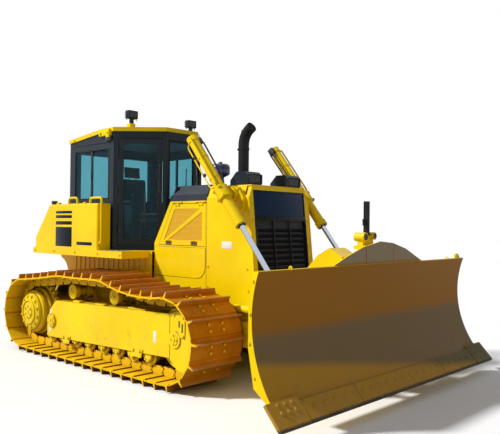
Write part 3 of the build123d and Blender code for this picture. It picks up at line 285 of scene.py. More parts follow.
yellow = (0.95, 0.665, 0.002)
# the cutting edge's dark colour is painted shade above its painted sunlit band
edgeShade = (0.13, 0.11, 0.05)
thin = {"rough": 0.42, "wear": 0.2, "soil": 0.12, "bare": (0.09, 0.09, 0.09)}
worked = {"wear": 0.6, "soil": 0.3, "gloss": 0.0, "shine": 0.05}
# blade face colours by height: painted shade high, a painted reflection in the middle, painted
# sunlight low, a pale crest; partly soil stain
bladeStainsAndShade = {"high": (0.36, 0.150, 0.013), "middle": (0.22, 0.145, 0.064),
               "low": (0.50, 0.255, 0.024), "crest": (0.32, 0.245, 0.150)}
edgeStainsAndShade = {"high": edgeShade, "middle": edgeShade, "low": (0.48, 0.255, 0.028),
              "crest": edgeShade}
finishes = {
    "yellow": paint("yellowEnamel", yellow, soil=0.3),
    # the frame paint gets painted shade in its gaps
    "frame": paint("frameEnamel", yellow, rough=0.4, wear=0.7, soil=0.4, gapShadeAndSoil=0.85),
    "blade": paint("bladeEnamel", yellow, rough=0.45, stainsAndShade=bladeStainsAndShade, **worked),
    "edge": paint("edgeEnamel", (0.45, 0.24, 0.028), rough=0.5, tip=0.186, stainsAndShade=edgeStainsAndShade,
                  **worked),
    "door": paint("doorEnamel", yellow, recess=0.5462),
    "charcoal": paint("charcoalEnamel", (0.016, 0.025, 0.034), shine=0.15, **thin),
    "hood": paint("hoodEnamel", (0.036, 0.044, 0.058), gloss=0.03, shine=0.10, **thin),
    "field": paint("fieldEnamel", (0.007, 0.009, 0.016), rough=0.32, wear=0.1, soil=0.05,
                   gloss=0.03, shine=0.08, bare=(0.05, 0.05, 0.05)),
    "navy": paint("navyEnamel", (0.002, 0.020, 0.080), rough=0.30, wear=0.1, soil=0.03,
                  gloss=0.0, shine=0.08, bare=(0.05, 0.05, 0.06)),
    "grille": paint("grilleEnamel", (0.006, 0.006, 0.009), rough=0.6, wear=0.1, soil=0.04,
                    gloss=0.0, shine=0.03, bare=(0.03, 0.03, 0.03)),
    "stack": metal("stackSteel", (0.022, 0.022, 0.024), 0.55, stain=0.6),
    # the rods' blue tint is a painted reflection of blue sky
    "chrome": metal("rodChrome", (0.50, 0.56, 0.66), 0.10, stain=0.05),
    "steel": metal("plainSteel", (0.32, 0.32, 0.33), 0.38, grain=(1, 1, 0.1), stain=0.6),
    "iron": paint("castIron", (0.16, 0.13, 0.07), rough=0.6, wear=0.3, soil=0.8),
    "rubber": plastic("hoseRubber", (0.018, 0.018, 0.019), 0.6, 500.0, 0.5),
    "plastic": plastic("grainedPlastic", (0.035, 0.037, 0.04), 0.55),
    "bluePlastic": plastic("bowlPlastic", (0.028, 0.035, 0.085), 0.35, 200.0, 0.3),
    "pale": plastic("blankPlate", (0.78, 0.76, 0.70), 0.5, 60.0, 0.3),
    "seat": fabric("seatCloth", (0.055, 0.055, 0.06)),
    "glass": glazing("tintedGlass", (0.62, 0.86, 0.90), (0.015, 0.09, 0.15), 0.13),
    "lens": glazing("lampLens", (0.42, 0.46, 0.50), (0.10, 0.12, 0.14), 0.35, 0.10),
    "screen": screening("grilleScreen", (0.008, 0.008, 0.010)),
    "weld": metal("weldBead", (0.30, 0.16, 0.05), 0.6, stain=0.8),
    "bowl": plastic("bowlRing", (0.10, 0.09, 0.36), 0.25, 120.0, 0.1),
    "track": trackFinish("trackSteel", (0.88, 0.55, 0.008)),
}
print("finishes made:", len(finishes))

nodeFinish = {
    "charcoal": "cab_frame cab_door_left cab_door_right work_lamps",
    "hood": "hood",
    "yellow": "platform fuel_tank side_tanks side_covers radiator_guard cab_roof front_mask "
              "handrails mast_clamp blade_yoke",
    "frame": "track_frame_left track_frame_right final_drives track_rollers idlers "
             "carrier_rollers sprockets c_frame main_frame drawbar lift_barrel_left "
             "lift_barrel_right angle_barrel_left angle_barrel_right tilt_barrel",
    "blade": "blade",
    "edge": "cutting_edge",
    "door": "hood_door_left hood_door_right",
    "grille": "grille",
    "iron": "engine",
    "stack": "exhaust_pipe mast",
    "bluePlastic": "air_precleaner",
    "chrome": "lift_rod_left lift_rod_right angle_rod_left angle_rod_right tilt_rod",
    "glass": "cab_glass door_glass_left door_glass_right",
    "lens": "lamp_lenses",
    "plastic": "cab_consoles dashboard",
    "seat": "seat",
    "track": "track_left track_right",
}
for finishName, names in nodeFinish.items():
    for name in names.split():
        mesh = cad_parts[name].data
        mesh.materials.clear()
        mesh.materials.append(finishes[finishName])
print("frame nodes finished")

# shapes: each maker gives a mesh about its own origin, which a heap lays where it is wanted
def asMesh(bm):
    bmesh.ops.recalc_face_normals(bm, faces=bm.faces)
    mesh = bpy.data.meshes.new("shape")
    bm.to_mesh(mesh)
    bm.free()
    return mesh


def ease(bm, edges, width, segments=2):
    bmesh.ops.bevel(bm, geom=edges, offset=width, offset_type="OFFSET", affect="EDGES",
                    segments=segments, profile=0.5, material=-1, clamp_overlap=True)


def thicken(bm, thick):
    # raises the flat faces along z and gives the edges that then stand upright
    grown = bmesh.ops.extrude_face_region(bm, geom=bm.faces[:])["geom"]
    top = [v for v in grown if isinstance(v, bmesh.types.BMVert)]
    bmesh.ops.translate(bm, verts=top, vec=(0.0, 0.0, thick))
    return [e for e in bm.edges if abs(e.verts[0].co.z - e.verts[1].co.z) > thick / 2]


def brick(x, y, z, width=0.003, segments=2):
    bm = bmesh.new()
    bmesh.ops.create_cube(bm, size=1.0)
    bmesh.ops.scale(bm, verts=bm.verts, vec=(x, y, z))
    ease(bm, bm.edges[:], width, segments)
    return asMesh(bm)


def slab(outline, thick, width=0.0015, corner=0.0):
    # an outline in x and y, thickened along z, its rims eased
    bm = bmesh.new()
    bm.faces.new([bm.verts.new((x, y, 0.0)) for x, y in outline])
    posts = thicken(bm, thick)
    if corner:
        ease(bm, posts, corner, 5)
    rims = [e for e in bm.edges if abs(e.verts[0].co.z - e.verts[1].co.z) < 1e-6
            and len({f.normal.z > 0.5 for f in e.link_faces}) == 2 or e.is_boundary]
    bmesh.ops.recalc_face_normals(bm, faces=bm.faces)
    if width:
        ease(bm, rims, width, 1)
    return asMesh(bm)


def lathe(profile, steps=20):
    # radius and height pairs turned round z; a ring's profile is closed on itself
    if profile[0][0] and profile[0] != profile[-1]:
        profile = (*profile, profile[0])
    bm = bmesh.new()
    line = [bm.verts.new((radius, 0.0, height)) for radius, height in profile]
    edges = [bm.edges.new(pair) for pair in zip(line, line[1:])]
    bmesh.ops.spin(bm, geom=line + edges, cent=(0, 0, 0), axis=(0, 0, 1),
                   angle=math.tau, steps=steps, use_merge=True)
    bmesh.ops.remove_doubles(bm, verts=bm.verts, dist=1e-5)
    return asMesh(bm)


def knob(high, top, shoulder, drop, foot, steps=16):
    # a turned button: flat top, then its shoulder's radius and height, then its foot's radius
    return lathe(((0, high), (top, high), (shoulder, drop), (foot, 0.0), (0, 0.0)), steps)


def surround(width, height, bar, thick, corner=0.03):
    # flat window frame: a rectangle, its middle taken out, thickened and rounded
    bm = bmesh.new()
    bmesh.ops.create_grid(bm, x_segments=1, y_segments=1, size=0.5)
    bmesh.ops.scale(bm, verts=bm.verts, vec=(width, height, 1.0))
    inner = bm.faces[:]
    bmesh.ops.inset_region(bm, faces=inner, thickness=bar, use_boundary=True)
    bmesh.ops.delete(bm, geom=inner, context="FACES_ONLY")
    ease(bm, thicken(bm, thick), corner, 4)
    return asMesh(bm)


def pipeRun(points, radius):
    # a rigid pipe on a smooth line through its points' corners
    curve = bpy.data.curves.new("pipe", "CURVE")
    curve.dimensions = "3D"
    line = curve.splines.new("NURBS")
    line.points.add(len(points) - 1)
    for point, spot in zip(line.points, points):
        point.co = (*spot, 1.0)
    line.use_endpoint_u = True
    line.order_u = 3
    line.resolution_u = 6
    curve.bevel_depth = radius
    curve.bevel_resolution = 3
    curve.use_fill_caps = True
    holder = bpy.data.objects.new("pipe", curve)
    bm = bmesh.new()
    bm.from_mesh(bpy.data.meshes.new_from_object(holder))
    bpy.data.objects.remove(holder)
    bmesh.ops.remove_doubles(bm, verts=bm.verts, dist=1e-5)
    return asMesh(bm)


def hexBolt(width, high=None, washer=True):
    high = high or width * 0.55
    bm = bmesh.new()
    bmesh.ops.create_cone(bm, cap_ends=True, segments=6, radius1=width * 0.577,
                          radius2=width * 0.577, depth=high,
                          matrix=Matrix.Translation((0, 0, high / 2)))
    ease(bm, [e for e in bm.edges if min(v.co.z for v in e.verts) > high * 0.9], high * 0.18, 1)
    if washer:
        bmesh.ops.create_cone(bm, cap_ends=True, segments=12, radius1=width * 0.85,
                              radius2=width * 0.8, depth=high * 0.24,
                              matrix=Matrix.Translation((0, 0, high * 0.12)))
    return asMesh(bm)


toFront, toRear, toSide, toTop = (1, 0, 0), (-1, 0, 0), (0, 1, 0), (0, 0, 1)


def lay(spot, out, along=None):
    # local z turned to out and local x to along, or else upwards, set at spot
    out = Vector(out).normalized()
    along = Vector(along or (toTop if abs(out.z) < 0.9 else toFront))
    along = (along - out * along.dot(out)).normalized()
    turn = Matrix((along, out.cross(along), out)).transposed().to_4x4()
    return Matrix.Translation(spot) @ turn


def stamp(bm, mesh, where):
    start = len(bm.verts)
    bm.from_mesh(mesh)
    bm.verts.ensure_lookup_table()
    bmesh.ops.transform(bm, matrix=where, verts=bm.verts[start:])


def middle(name):
    low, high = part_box(name)
    return (Vector(low) + Vector(high)) / 2


# stations run forward from a datum just ahead of the drive wheels' shaft
datum = middle("sprockets").x + 0.020
gauge = middle("track_left").y


def at(x, y, z):
    return Vector((datum + x, y, z))


def spread(first, last, count):
    return [first + (last - first) * i / (count - 1) for i in range(count)]


# the left side is drawn, and its mirror image gives the right side
sides = {"left": Matrix(), "right": Matrix.Scale(-1.0, 4, toSide)}
both, once = tuple(sides.values()), (Matrix(),)
made = []


class Heap:
    # shapes gathered into one piece, each laid once for every matrix in turns;
    # a spot is a tuple of stations or a Vector in the frame
    def __init__(self, turns=both):
        self.bm = bmesh.new()
        self.turns = turns

    def add(self, mesh, spot, out=toTop, along=None):
        spot = at(*spot) if isinstance(spot, tuple) else spot
        for turn in self.turns:
            stamp(self.bm, mesh, turn @ lay(spot, out, along))

    def brick(self, size, spot, out=toTop, along=None):
        self.add(brick(*size), spot, out, along)

    def bricks(self, rows):
        # rows of size along x, y and z, eased width, and station
        for *size, x, y, z in rows:
            self.brick(size, (x, y, z))

    def ring(self, mesh, spot, out, radius, count, phase=0.0):
        spot = at(*spot) if isinstance(spot, tuple) else spot
        for i in range(count):
            angle = math.tau * (i + phase) / count
            arm = lay((0, 0, 0), out).to_3x3() @ Vector((math.cos(angle), math.sin(angle), 0))
            self.add(mesh, spot + arm * radius, out, arm)

    def piece(self, name, body, finish, angle=38):
        # a mirrored shape comes inside out
        if any(v.co.y < 0 for v in self.bm.verts):
            bmesh.ops.recalc_face_normals(self.bm, faces=self.bm.faces)
        mesh = bpy.data.meshes.new(name)
        self.bm.to_mesh(mesh)
        self.bm.free()
        mesh.materials.append(finishes[finish])
        mesh.polygons.foreach_set("use_smooth", [True] * len(mesh.polygons))
        mesh.set_sharp_from_angle(angle=math.radians(angle))
        thing = bpy.data.objects.new(name, mesh)
        bpy.context.scene.collection.objects.link(thing)
        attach(thing, body)
        made.append(name)
        return thing


# track chains
chain = {"pitch": 0.2032, "wheel": 0.411, "drive": -0.020, "idler": 3.145, "axle": 0.542,
         "tops": ((0.942, 1.002), (1.895, 1.010)), "sag": (0.008, 0.010, 0.072),
         "foot": 0.058, "half": 0.380, "taper": 0.016, "boltLine": 0.0975, "bolt": 0.034}


def chainPins():
    # pins round the loop: along the ground, up the idler, back over the carrier rollers
    def arc(x, start):
        turns = [math.radians(start + 4.5 * i) for i in range(41)]
        return [(x + chain["wheel"] * math.cos(t), chain["axle"] + chain["wheel"] * math.sin(t))
                for t in turns]
    high = chain["axle"] + chain["wheel"]
    tops = [(chain["drive"], high), *((x, z + chain["foot"]) for x, z in chain["tops"]),
            (chain["idler"], high)]
    path = arc(chain["idler"], -90)
    for i in (2, 1, 0):
        (x0, z0), (x1, z1) = tops[i + 1], tops[i]
        for step in range(1, 25 if i else 24):
            f = step / 24
            hang = 4 * chain["sag"][i] * f * (1 - f)
            path.append((x0 + (x1 - x0) * f, z0 + (z1 - z0) * f - hang))
    path += arc(chain["drive"], 90)
    path.append(path[0])
    lengths = [math.dist(a, b) for a, b in zip(path, path[1:])]
    count = round(sum(lengths) / chain["pitch"])
    step = sum(lengths) / count
    goal = step - (chain["idler"] + 0.1 * chain["pitch"]) % chain["pitch"]
    pins, walked, leg = [], 0.0, 0
    for i in range(count):
        while walked + lengths[leg] < goal:
            walked += lengths[leg]
            leg += 1
        f = (goal - walked) / lengths[leg]
        pins.append(Vector((*path[leg], 0)).lerp(Vector((*path[leg + 1], 0)), f))
        goal += step
    return pins


def sideCut(outline, low, high):
    # an outline in x and z, thickened from y = low to y = high
    mesh = slab(outline, high - low, 0.0)
    mesh.transform(lay((0, high, 0), (0, -1, 0), toFront))
    return mesh


def shoeShape():
    # plate with its grouser, two pairs of links, bolts, pin and bushing
    p, half = chain["pitch"], chain["half"]
    bm = bmesh.new()
    rub = bm.verts.layers.float.new("rub")
    plate = ((0.02, 0.050), (0.96, 0.047), (1.14, 0.034), (1.155, 0.042), (0.985, 0.066),
             (0.945, 0.131), (0.875, 0.131), (0.835, 0.068), (0.10, 0.066), (0.03, 0.060))
    stamp(bm, sideCut([(x * p, z) for x, z in plate], -half, half), Matrix())
    for v in bm.verts:
        v[rub] = 0.5 if v.co.z > 0.055 or v.co.x > p else 0.0
        if v.co.z > 0.12:
            v.co.y *= (half - chain["taper"]) / half
            v[rub] = 1.0
    for side in (-1, 1):
        for y0, y1, x0, x1 in ((0.075, 0.099, -0.034, 0.80 * p),
                               (0.097, 0.120, 0.2 * p, p + 0.034)):
            first = len(bm.verts)
            link = ((x0, -0.010), (x0 + 0.012, -0.036), (max(0.14 * p, x0 + 0.02), -0.058),
                    (min(0.86 * p, x1 - 0.02), -0.058), (x1 - 0.012, -0.036), (x1, -0.010),
                    (x1, 0.012), (x1 - 0.012, 0.048), (x0 + 0.012, 0.048), (x0, 0.012))
            stamp(bm, sideCut(link, *sorted((side * y0, side * y1))), Matrix())
            for v in bm.verts[first:]:
                v[rub] = 1.0 if v.co.z < -0.05 else 0.0
        for x in (0.30 * p, 0.66 * p):
            stamp(bm, hexBolt(chain["bolt"], 0.018, False),
                  lay((x, side * chain["boltLine"], 0.066), toTop))
    pin = ((0.0, -0.129), (0.019, -0.129), (0.021, -0.126), (0.021, 0.126), (0.019, 0.129),
           (0.0, 0.129))
    bushing = ((0.0, -0.074), (0.033, -0.074), (0.033, 0.074), (0.0, 0.074))
    stamp(bm, lathe(pin, 10), lay((0, 0, 0), toSide))
    stamp(bm, lathe(bushing, 12), lay((p, 0, 0), toSide))
    return asMesh(bm)


pins = chainPins()
shoe = shoeShape()
for name, side in (("left", 1), ("right", -1)):
    loop = Heap(once)
    loop.bm.verts.layers.float.new("rub")
    for i, pin in enumerate(pins):
        ahead = pins[(i + 1) % len(pins)]
        run = Vector((ahead.x - pin.x, 0, ahead.y - pin.y)).normalized()
        loop.add(shoe, (pin.x, side * gauge, pin.y), (run.z, 0, -run.x), run)
    thing = loop.piece("trackChain_" + name, "machine", "track", 30)
    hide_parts("track_" + name)
print("track chains:", len(pins), "shoes a side")

# running gear trim
gear = {"rollers": (0.470, 2.635, 8), "rollerZ": 0.289, "hubBolts": 12, "flangeBolts": 24,
        "hub": 0.249, "collar": 0.148, "carrier": (0.144, -0.112), "pivot": (0.560, 0.231, 0.480)}
bolt, small, tiny = hexBolt(0.030), hexBolt(0.022), hexBolt(0.016)
hubCap = lathe(((0.0, 0.020), (0.030, 0.020), (0.034, 0.014), (0.096, 0.014), (0.106, 0.006),
                (0.108, 0.0), (0.0, 0.0)), 32)
hubLip = lathe(((0.150, 0.0), (0.150, 0.010), (0.156, 0.014), (0.176, 0.010), (0.182, 0.0)), 40)
collar = lathe(((0.0, 0.0), (0.072, 0.0), (0.076, 0.004), (0.076, 0.028), (0.070, 0.034),
                (0.0, 0.034)), 20)
carrierCap = lathe(((0.0, 0.012), (0.018, 0.012), (0.020, 0.006), (0.046, 0.006), (0.050, 0.0),
                    (0.0, 0.0)), 20)
bossCap = lathe(((0.0, 0.016), (0.022, 0.016), (0.026, 0.008), (0.060, 0.008), (0.066, 0.0),
                 (0.0, 0.0)), 24)
trim = Heap()
hub = at(chain["drive"], gauge + gear["hub"], chain["axle"])
trim.add(hubCap, hub, toSide)
trim.add(hubLip, hub, toSide)
trim.ring(small, hub + Vector((0, 0.014, 0)), toSide, 0.078, 6)
trim.ring(bolt, hub - Vector((0, 0.014, 0)), toSide, 0.214, gear["hubBolts"], 0.5)
trim.ring(tiny, hub - Vector((0, 0.170, 0)), toSide, 0.319, gear["flangeBolts"])
for x in spread(*gear["rollers"]):
    for out in (1, -1):
        spot = at(x, gauge + out * gear["collar"], gear["rollerZ"])
        trim.add(collar, spot, (0, out, 0))
        for turn in (-0.62, 0.62):
            off = Vector((0.054 * math.sin(turn), out * 0.034, -0.054 * math.cos(turn)))
            trim.add(small, spot + off, (0, out, 0))
for x, z in chain["tops"]:
    out, drop = gear["carrier"]
    trim.add(carrierCap, (x, gauge + out, z + drop), toSide)
    trim.ring(tiny, (x, gauge + out + 0.005, z + drop), toSide, 0.034, 4)
idlerEnd = at(chain["idler"], gauge + 0.213, chain["axle"])
trim.add(bossCap, idlerEnd, toSide)
trim.ring(tiny, idlerEnd + Vector((0, 0.008, 0)), toSide, 0.045, 4)
x, y, z = gear["pivot"]
trim.add(bossCap, (x, gauge + y, z), toSide)
trim.ring(tiny, (x, gauge + y, z), toSide, 0.078, 6)
trim.piece("runningGearTrim", "machine", "frame")

# rock guards over the drive housings, inside the chains
guards = {"inner": 0.24, "outer": 0.490, "lip": 0.010, "span": (50, 178), "face": (0.700, 0.712),
          "hull": 0.428}


def arcBand(inner, outer):
    turns = [math.radians(t) for t in spread(*guards["span"], 17)]
    return [(outer * math.cos(t), outer * math.sin(t)) for t in turns] + \
        [(inner * math.cos(t), inner * math.sin(t)) for t in reversed(turns)]


trim = Heap()
low, high = guards["face"]
for inner, start, end in ((guards["inner"], low, high),
                          (guards["outer"] - guards["lip"], guards["hull"], low)):
    trim.add(sideCut(arcBand(inner, guards["outer"]), start, end),
             (chain["drive"], 0, chain["axle"]))
trim.piece("driveGuards", "machine", "frame")

# plates and hatches on the track frames; a frame's top and bottom slope a little
plates = {"hatches": ((1.14, 0.15, 0.026), (1.68, 0.20, 0.020), (2.44, 0.34, 0.018)),
          "top": (0.752, 0.640, 0.063 / 2.417), "guards": ((0.935, 0.20), (2.48, 0.22)),
          "bottom": (0.252, 0.497, 0.078 / 2.56), "yoke": (3.215, 0.700),
          "cover": ((-0.100, -0.120), (0.090, -0.150), (0.120, -0.02), (0.090, 0.110),
                    (-0.100, 0.140)),
          "coverBolts": ((-0.075, -0.105), (0.075, -0.112), (0.075, 0.095), (-0.075, 0.105)),
          "slots": ((0.060, -0.02, 0.095), (0.010, 0.02, 0.07)),
          "blanks": ((0.042, 0.060, 0.520, 0.592), (0.042, 0.060, 0.500, 0.345),
                     (0.050, 0.130, 2.800, 0.530))}
plain, dark, pale = Heap(), Heap(), Heap()
for x, length, high in plates["hatches"]:
    level, start, slope = plates["top"]
    top = level + (x - start) * slope
    plain.brick((length, 0.075, high, 0.005), (x, gauge + 0.160, top + high / 2))
    for end in (-0.35, 0.35):
        plain.add(tiny, (x + end * length, gauge + 0.160, top + high))
for x, length in plates["guards"]:
    level, start, slope = plates["bottom"]
    low = level + (x - start) * slope
    guard = slab(((-length / 2, 0.045), (-length / 2 + 0.03, -0.055),
                  (length / 2 - 0.03, -0.055), (length / 2, 0.045)), 0.014, 0.002)
    plain.add(guard, (x, gauge + 0.205, low), toSide, toRear)
    for end in (-0.28, 0.28):
        plain.add(bolt, (x + end * length, gauge + 0.219, low + 0.022), toSide)
# bolted cover, adjuster port and slots on the idler's yoke
x, z = plates["yoke"]
plain.add(slab(plates["cover"], 0.010, 0.002, 0.03), (x, gauge + 0.199, z), toSide, toRear)
for dx, dz in plates["coverBolts"]:
    plain.add(small, (x + dx, gauge + 0.209, z + dz), toSide)
for dx, dz, length in plates["slots"]:
    dark.brick((0.020, 0.004, length, 0.0015), (x + dx, gauge + 0.2095, z + dz))
dark.add(lathe(((0, 0.0), (0.026, 0.0), (0.026, 0.003), (0.018, 0.001), (0.0, 0.001)), 20),
         (x - 0.035, gauge + 0.2085, z - 0.090), toSide)
for wide, high, x, z in plates["blanks"]:
    pale.brick((wide, 0.002, high, 0.0008), (x, gauge + 0.2055, z))
plain.piece("trackFramePlates", "machine", "frame")
dark.piece("adjusterPorts", "machine", "rubber")
print("running gear trim done")

# engine doors, side panels and guard
panels = {"low": 1.140, "top": 1.515, "rear": 1.812, "front": 2.795, "corner": 0.15,
          "wall": 0.550, "middle": (2.3, 1.3), "trunnion": (3.300, 2.164),
          "trunnionBolts": ((-0.125, -0.045), (-0.125, 0.015), (0.135, -0.165),
                            (0.145, -0.075), (0.075, 0.055), (-0.060, 0.080)),
          "guardBolts": ((2.84, 0.80), (2.84, 1.05), (2.84, 1.30), (3.50, 0.80), (3.52, 1.05),
                         (3.50, 1.30)), "latches": (2.093, 2.583), "hinges": (2.260, 2.700)}


def lowerPanel(grow):
    # square corners but for the large round one in front, low down
    p, (x, z) = panels, panels["middle"]
    radius = p["corner"] + grow
    shape = [(p["rear"] - grow, p["low"] - grow), (p["rear"] - grow, p["top"] + grow),
             (p["front"] + grow, p["top"] + grow)]
    shape += [(p["front"] - p["corner"] + radius * math.cos(turn),
               p["low"] + p["corner"] - radius * math.sin(turn))
              for turn in spread(0.0, math.pi / 2, 9)]
    return [(x - px, pz - z) for px, pz in shape]


plain, seal = Heap(), Heap()
wall = panels["wall"]
for grow, thick, rim, heap in ((0.0, 0.006, 0.0012, plain), (0.004, 0.002, 0.0, seal)):
    x, z = panels["middle"]
    heap.add(slab(lowerPanel(grow), thick, rim), (x, wall + 0.0003, z), toSide, toRear)
x, z = panels["trunnion"]
for dx, dz in panels["trunnionBolts"]:
    plain.add(bolt, (x + dx, 0.595, z + dz), toSide)
for x, z in panels["guardBolts"]:
    plain.add(small, (x, wall, z), toSide)
seal.brick((0.005, 0.0015, 1.36, 0.0004), (2.812, wall + 0.0006, 1.42))
pale.brick((0.165, 0.002, 0.085, 0.0006), (3.165, wall + 0.001, 1.565))
plain.piece("sidePanels", "machine", "yellow")
seal.piece("panelSeals", "machine", "rubber")
for name, flip in sides.items():
    plain, grip = Heap((flip,)), Heap((flip,))
    for x in panels["latches"]:
        plain.add(surround(0.110, 0.048, 0.010, 0.006, 0.010), (x, wall, 1.572), toSide, toRear)
        grip.brick((0.088, 0.004, 0.026, 0.0015), (x, wall + 0.002, 1.572))
    for x in panels["hinges"]:
        for dx in (-0.028, 0.028):
            plain.add(tiny, (x + dx, wall + 0.006, 2.052), toSide)
    plain.piece("doorLatches_" + name, "hood_door_" + name, "yellow")
    grip.piece("doorGrips_" + name, "hood_door_" + name, "plastic")

# front mask: dark name field with nothing on it, band and grille surround;
# a bar's row is height, width, depth, eased width, y, z and how far out it stands
mask = {"lean": 0.100 / 0.945, "top": (3.500, 2.275), "bars": (
    (0.050, 0.936, 0.016, 0.004, 0.0, 1.888, -0.010),
    (0.030, 0.936, 0.016, 0.004, 0.0, 0.785, -0.010),
    (1.090, 0.030, 0.016, 0.004, 0.456, 1.330, -0.010),
    (0.300, 0.022, 0.012, 0.003, 0.460, 2.056, -0.012),
    (0.022, 0.936, 0.012, 0.003, 0.0, 2.204, -0.012),
    (1.060, 0.018, 0.010, 0.002, 0.150, 1.330, -0.009)),
    "name": ((0.300, 0.926, 0.012, 0.004), 2.060, -0.016),
    "mesh": ((1.080, 0.916, 0.002, 0.0005), 1.330, -0.0225),
    "barBolts": (0.456, -0.002, (0.86, 1.30, 1.80)),
    "rimBolts": (0.503, -0.006, (0.78, 1.15, 1.55, 1.86, 2.18))}
tilt = Vector((1.0, 0.0, mask["lean"]))


def onMask(y, z, out):
    x, top = mask["top"]
    return at(x + (top - z) * mask["lean"] + out, y, z)


def maskBolts(heap, mesh, y, out, heights):
    for z in heights:
        for side in (-y, y):
            heap.add(mesh, onMask(side, z, out), tilt)


def maskField(part, name, finish):
    size, z, out = mask[part]
    field = Heap(once)
    field.brick(size, onMask(0, z, out), tilt)
    field.piece(name, "machine", finish)


bars, rim = Heap(once), Heap(once)
for *size, y, z, out in mask["bars"]:
    for side in sorted({y, -y}):
        bars.brick(size, onMask(side, z, out), tilt)
maskBolts(bars, tiny, *mask["barBolts"])
maskBolts(rim, small, *mask["rimBolts"])
maskField("name", "nameField", "navy")
bars.piece("maskFields", "machine", "field")
maskField("mesh", "grilleMesh", "screen")
rim.piece("maskBolts", "machine", "yellow")
print("panels, doors and mask done")

# exhaust and intake
stack = {"x": 3.030, "y": -0.140, "bands": (0.10, 0.46), "radius": 0.067, "foot": 0.083,
         "flange": (0.066, 0.070), "straight": 0.525, "bend": 0.235, "turn": 58, "tail": 0.030,
         "bore": 0.058, "boreDeep": 0.140}
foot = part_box("exhaust_pipe")[0].z


def onStack(rise, out=0.0, side=0.0):
    return at(stack["x"] - out, stack["y"] + side, foot + rise)


radius, bore = stack["radius"], stack["bore"]
low, high = stack["flange"]
rings = [(onStack(0.0), toTop, stack["foot"]), (onStack(low), toTop, stack["foot"]),
         (onStack(high), toTop, stack["foot"] - 0.004), (onStack(high), toTop, radius)]
bendMiddle = onStack(stack["straight"], -stack["bend"])
for turn in spread(0.0, math.radians(stack["turn"]), 13):
    rings.append((bendMiddle + Vector((-math.cos(turn), 0, math.sin(turn))) * stack["bend"],
                  (math.sin(turn), 0, math.cos(turn)), radius))
run = Vector(rings[-1][1])
mouth = rings[-1][0] + run * stack["tail"]
rings += [(mouth, run, radius), (mouth + run * 0.002, run, radius - 0.002),
          (mouth + run * 0.002, run, bore + 0.001), (mouth, run, bore),
          (mouth - run * stack["boreDeep"], run, bore)]
pipe = Heap(once)
last = None
for spot, out, radius in rings:
    circle = bmesh.ops.create_circle(pipe.bm, segments=32, radius=radius,
                                     matrix=lay(spot, out, toSide))
    loop = {e for v in circle["verts"] for e in v.link_edges}
    if last:
        bmesh.ops.bridge_loops(pipe.bm, edges=list(last | loop))
        loop = {e for e in loop if e.is_valid}
    else:
        bmesh.ops.contextual_create(pipe.bm, geom=list(loop))
    last = loop
bmesh.ops.contextual_create(pipe.bm, geom=list(last))
pipe = pipe.piece("exhaustStack", "machine", "stack")
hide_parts("exhaust_pipe")
bands = Heap(once)
for rise in stack["bands"]:
    bands.add(lathe(((0.0685, 0.0), (0.073, 0.002), (0.073, 0.026), (0.0685, 0.028)), 28),
              onStack(rise))
    bands.brick((0.030, 0.030, 0.020, 0.003), onStack(rise + 0.014, 0.086))
    bands.add(tiny, onStack(rise + 0.014, 0.086, 0.015), toSide)
bands.ring(small, onStack(0.070), toTop, 0.076, 6)
bands.piece("exhaustBands", "machine", "stack")
bowl = middle("air_precleaner")
bowl.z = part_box("air_precleaner")[0].z
trim = Heap(once)
trim.add(lathe(((0.120, 0.188), (0.1285, 0.192), (0.1285, 0.232), (0.120, 0.236)), 36), bowl)
trim.piece("bowlRing", "machine", "bowl")
trim = Heap(once)
for *size, rise, out, count in ((0.050, 0.006, 0.004, 0.001, 0.2585, 0.098, 16),
                                (0.010, 0.008, 0.030, 0.002, 0.250, 0.1235, 10)):
    trim.ring(brick(*size), bowl + Vector((0, 0, rise)), toTop, out, count)
trim.add(lathe(((0.0525, 0.060), (0.0575, 0.062), (0.0575, 0.080), (0.0525, 0.082)), 24), bowl)
trim.piece("intakeTrim", "machine", "plastic")
print("exhaust and intake done")

# cab trim
cab = {"rear": 0.100, "pillar": 1.200, "front": 1.690, "half": 0.800, "nose": 0.280,
       "sideWindow": (0.230, 1.090, 2.150, 2.850), "door": (0.127, 0.6125, 1.578, 2.917),
       "screen": (0.450, 1.900, 2.960), "rearGlass": 1.280, "hooks": (1.95, 2.25, 2.55, 2.82),
       "doorHinges": (1.720, 2.250, 2.780), "doorWiper": (0.370, 1.610)}
turn = math.atan2(cab["half"] - cab["nose"], cab["front"] - cab["pillar"])
doorAlong = Vector((math.cos(turn), -math.sin(turn), 0))     # left door, forward and inward
doorOut = Vector((math.sin(turn), math.cos(turn), 0))


def onDoor(along, z, out):
    # a point on the left door's face, from its post
    return at(cab["pillar"], cab["half"], z) + doorAlong * along + doorOut * out


def windowTrim(heap, spot, out, wide, high, bar=0.030):
    rim = surround(wide + 0.5 * bar, high + 0.5 * bar, bar, 0.006, 0.02)
    heap.add(rim, spot, out, Vector(toTop).cross(Vector(out)))


seals, trim, blades = Heap(), Heap(), Heap(once)
x0, x1, z0, z1 = cab["sideWindow"]
x, z, half, tall = (x0 + x1) / 2, (z0 + z1) / 2, cab["half"], z1 - z0 - 0.02
windowTrim(seals, (x, half - 0.003, z), toSide, x1 - x0, z1 - z0)
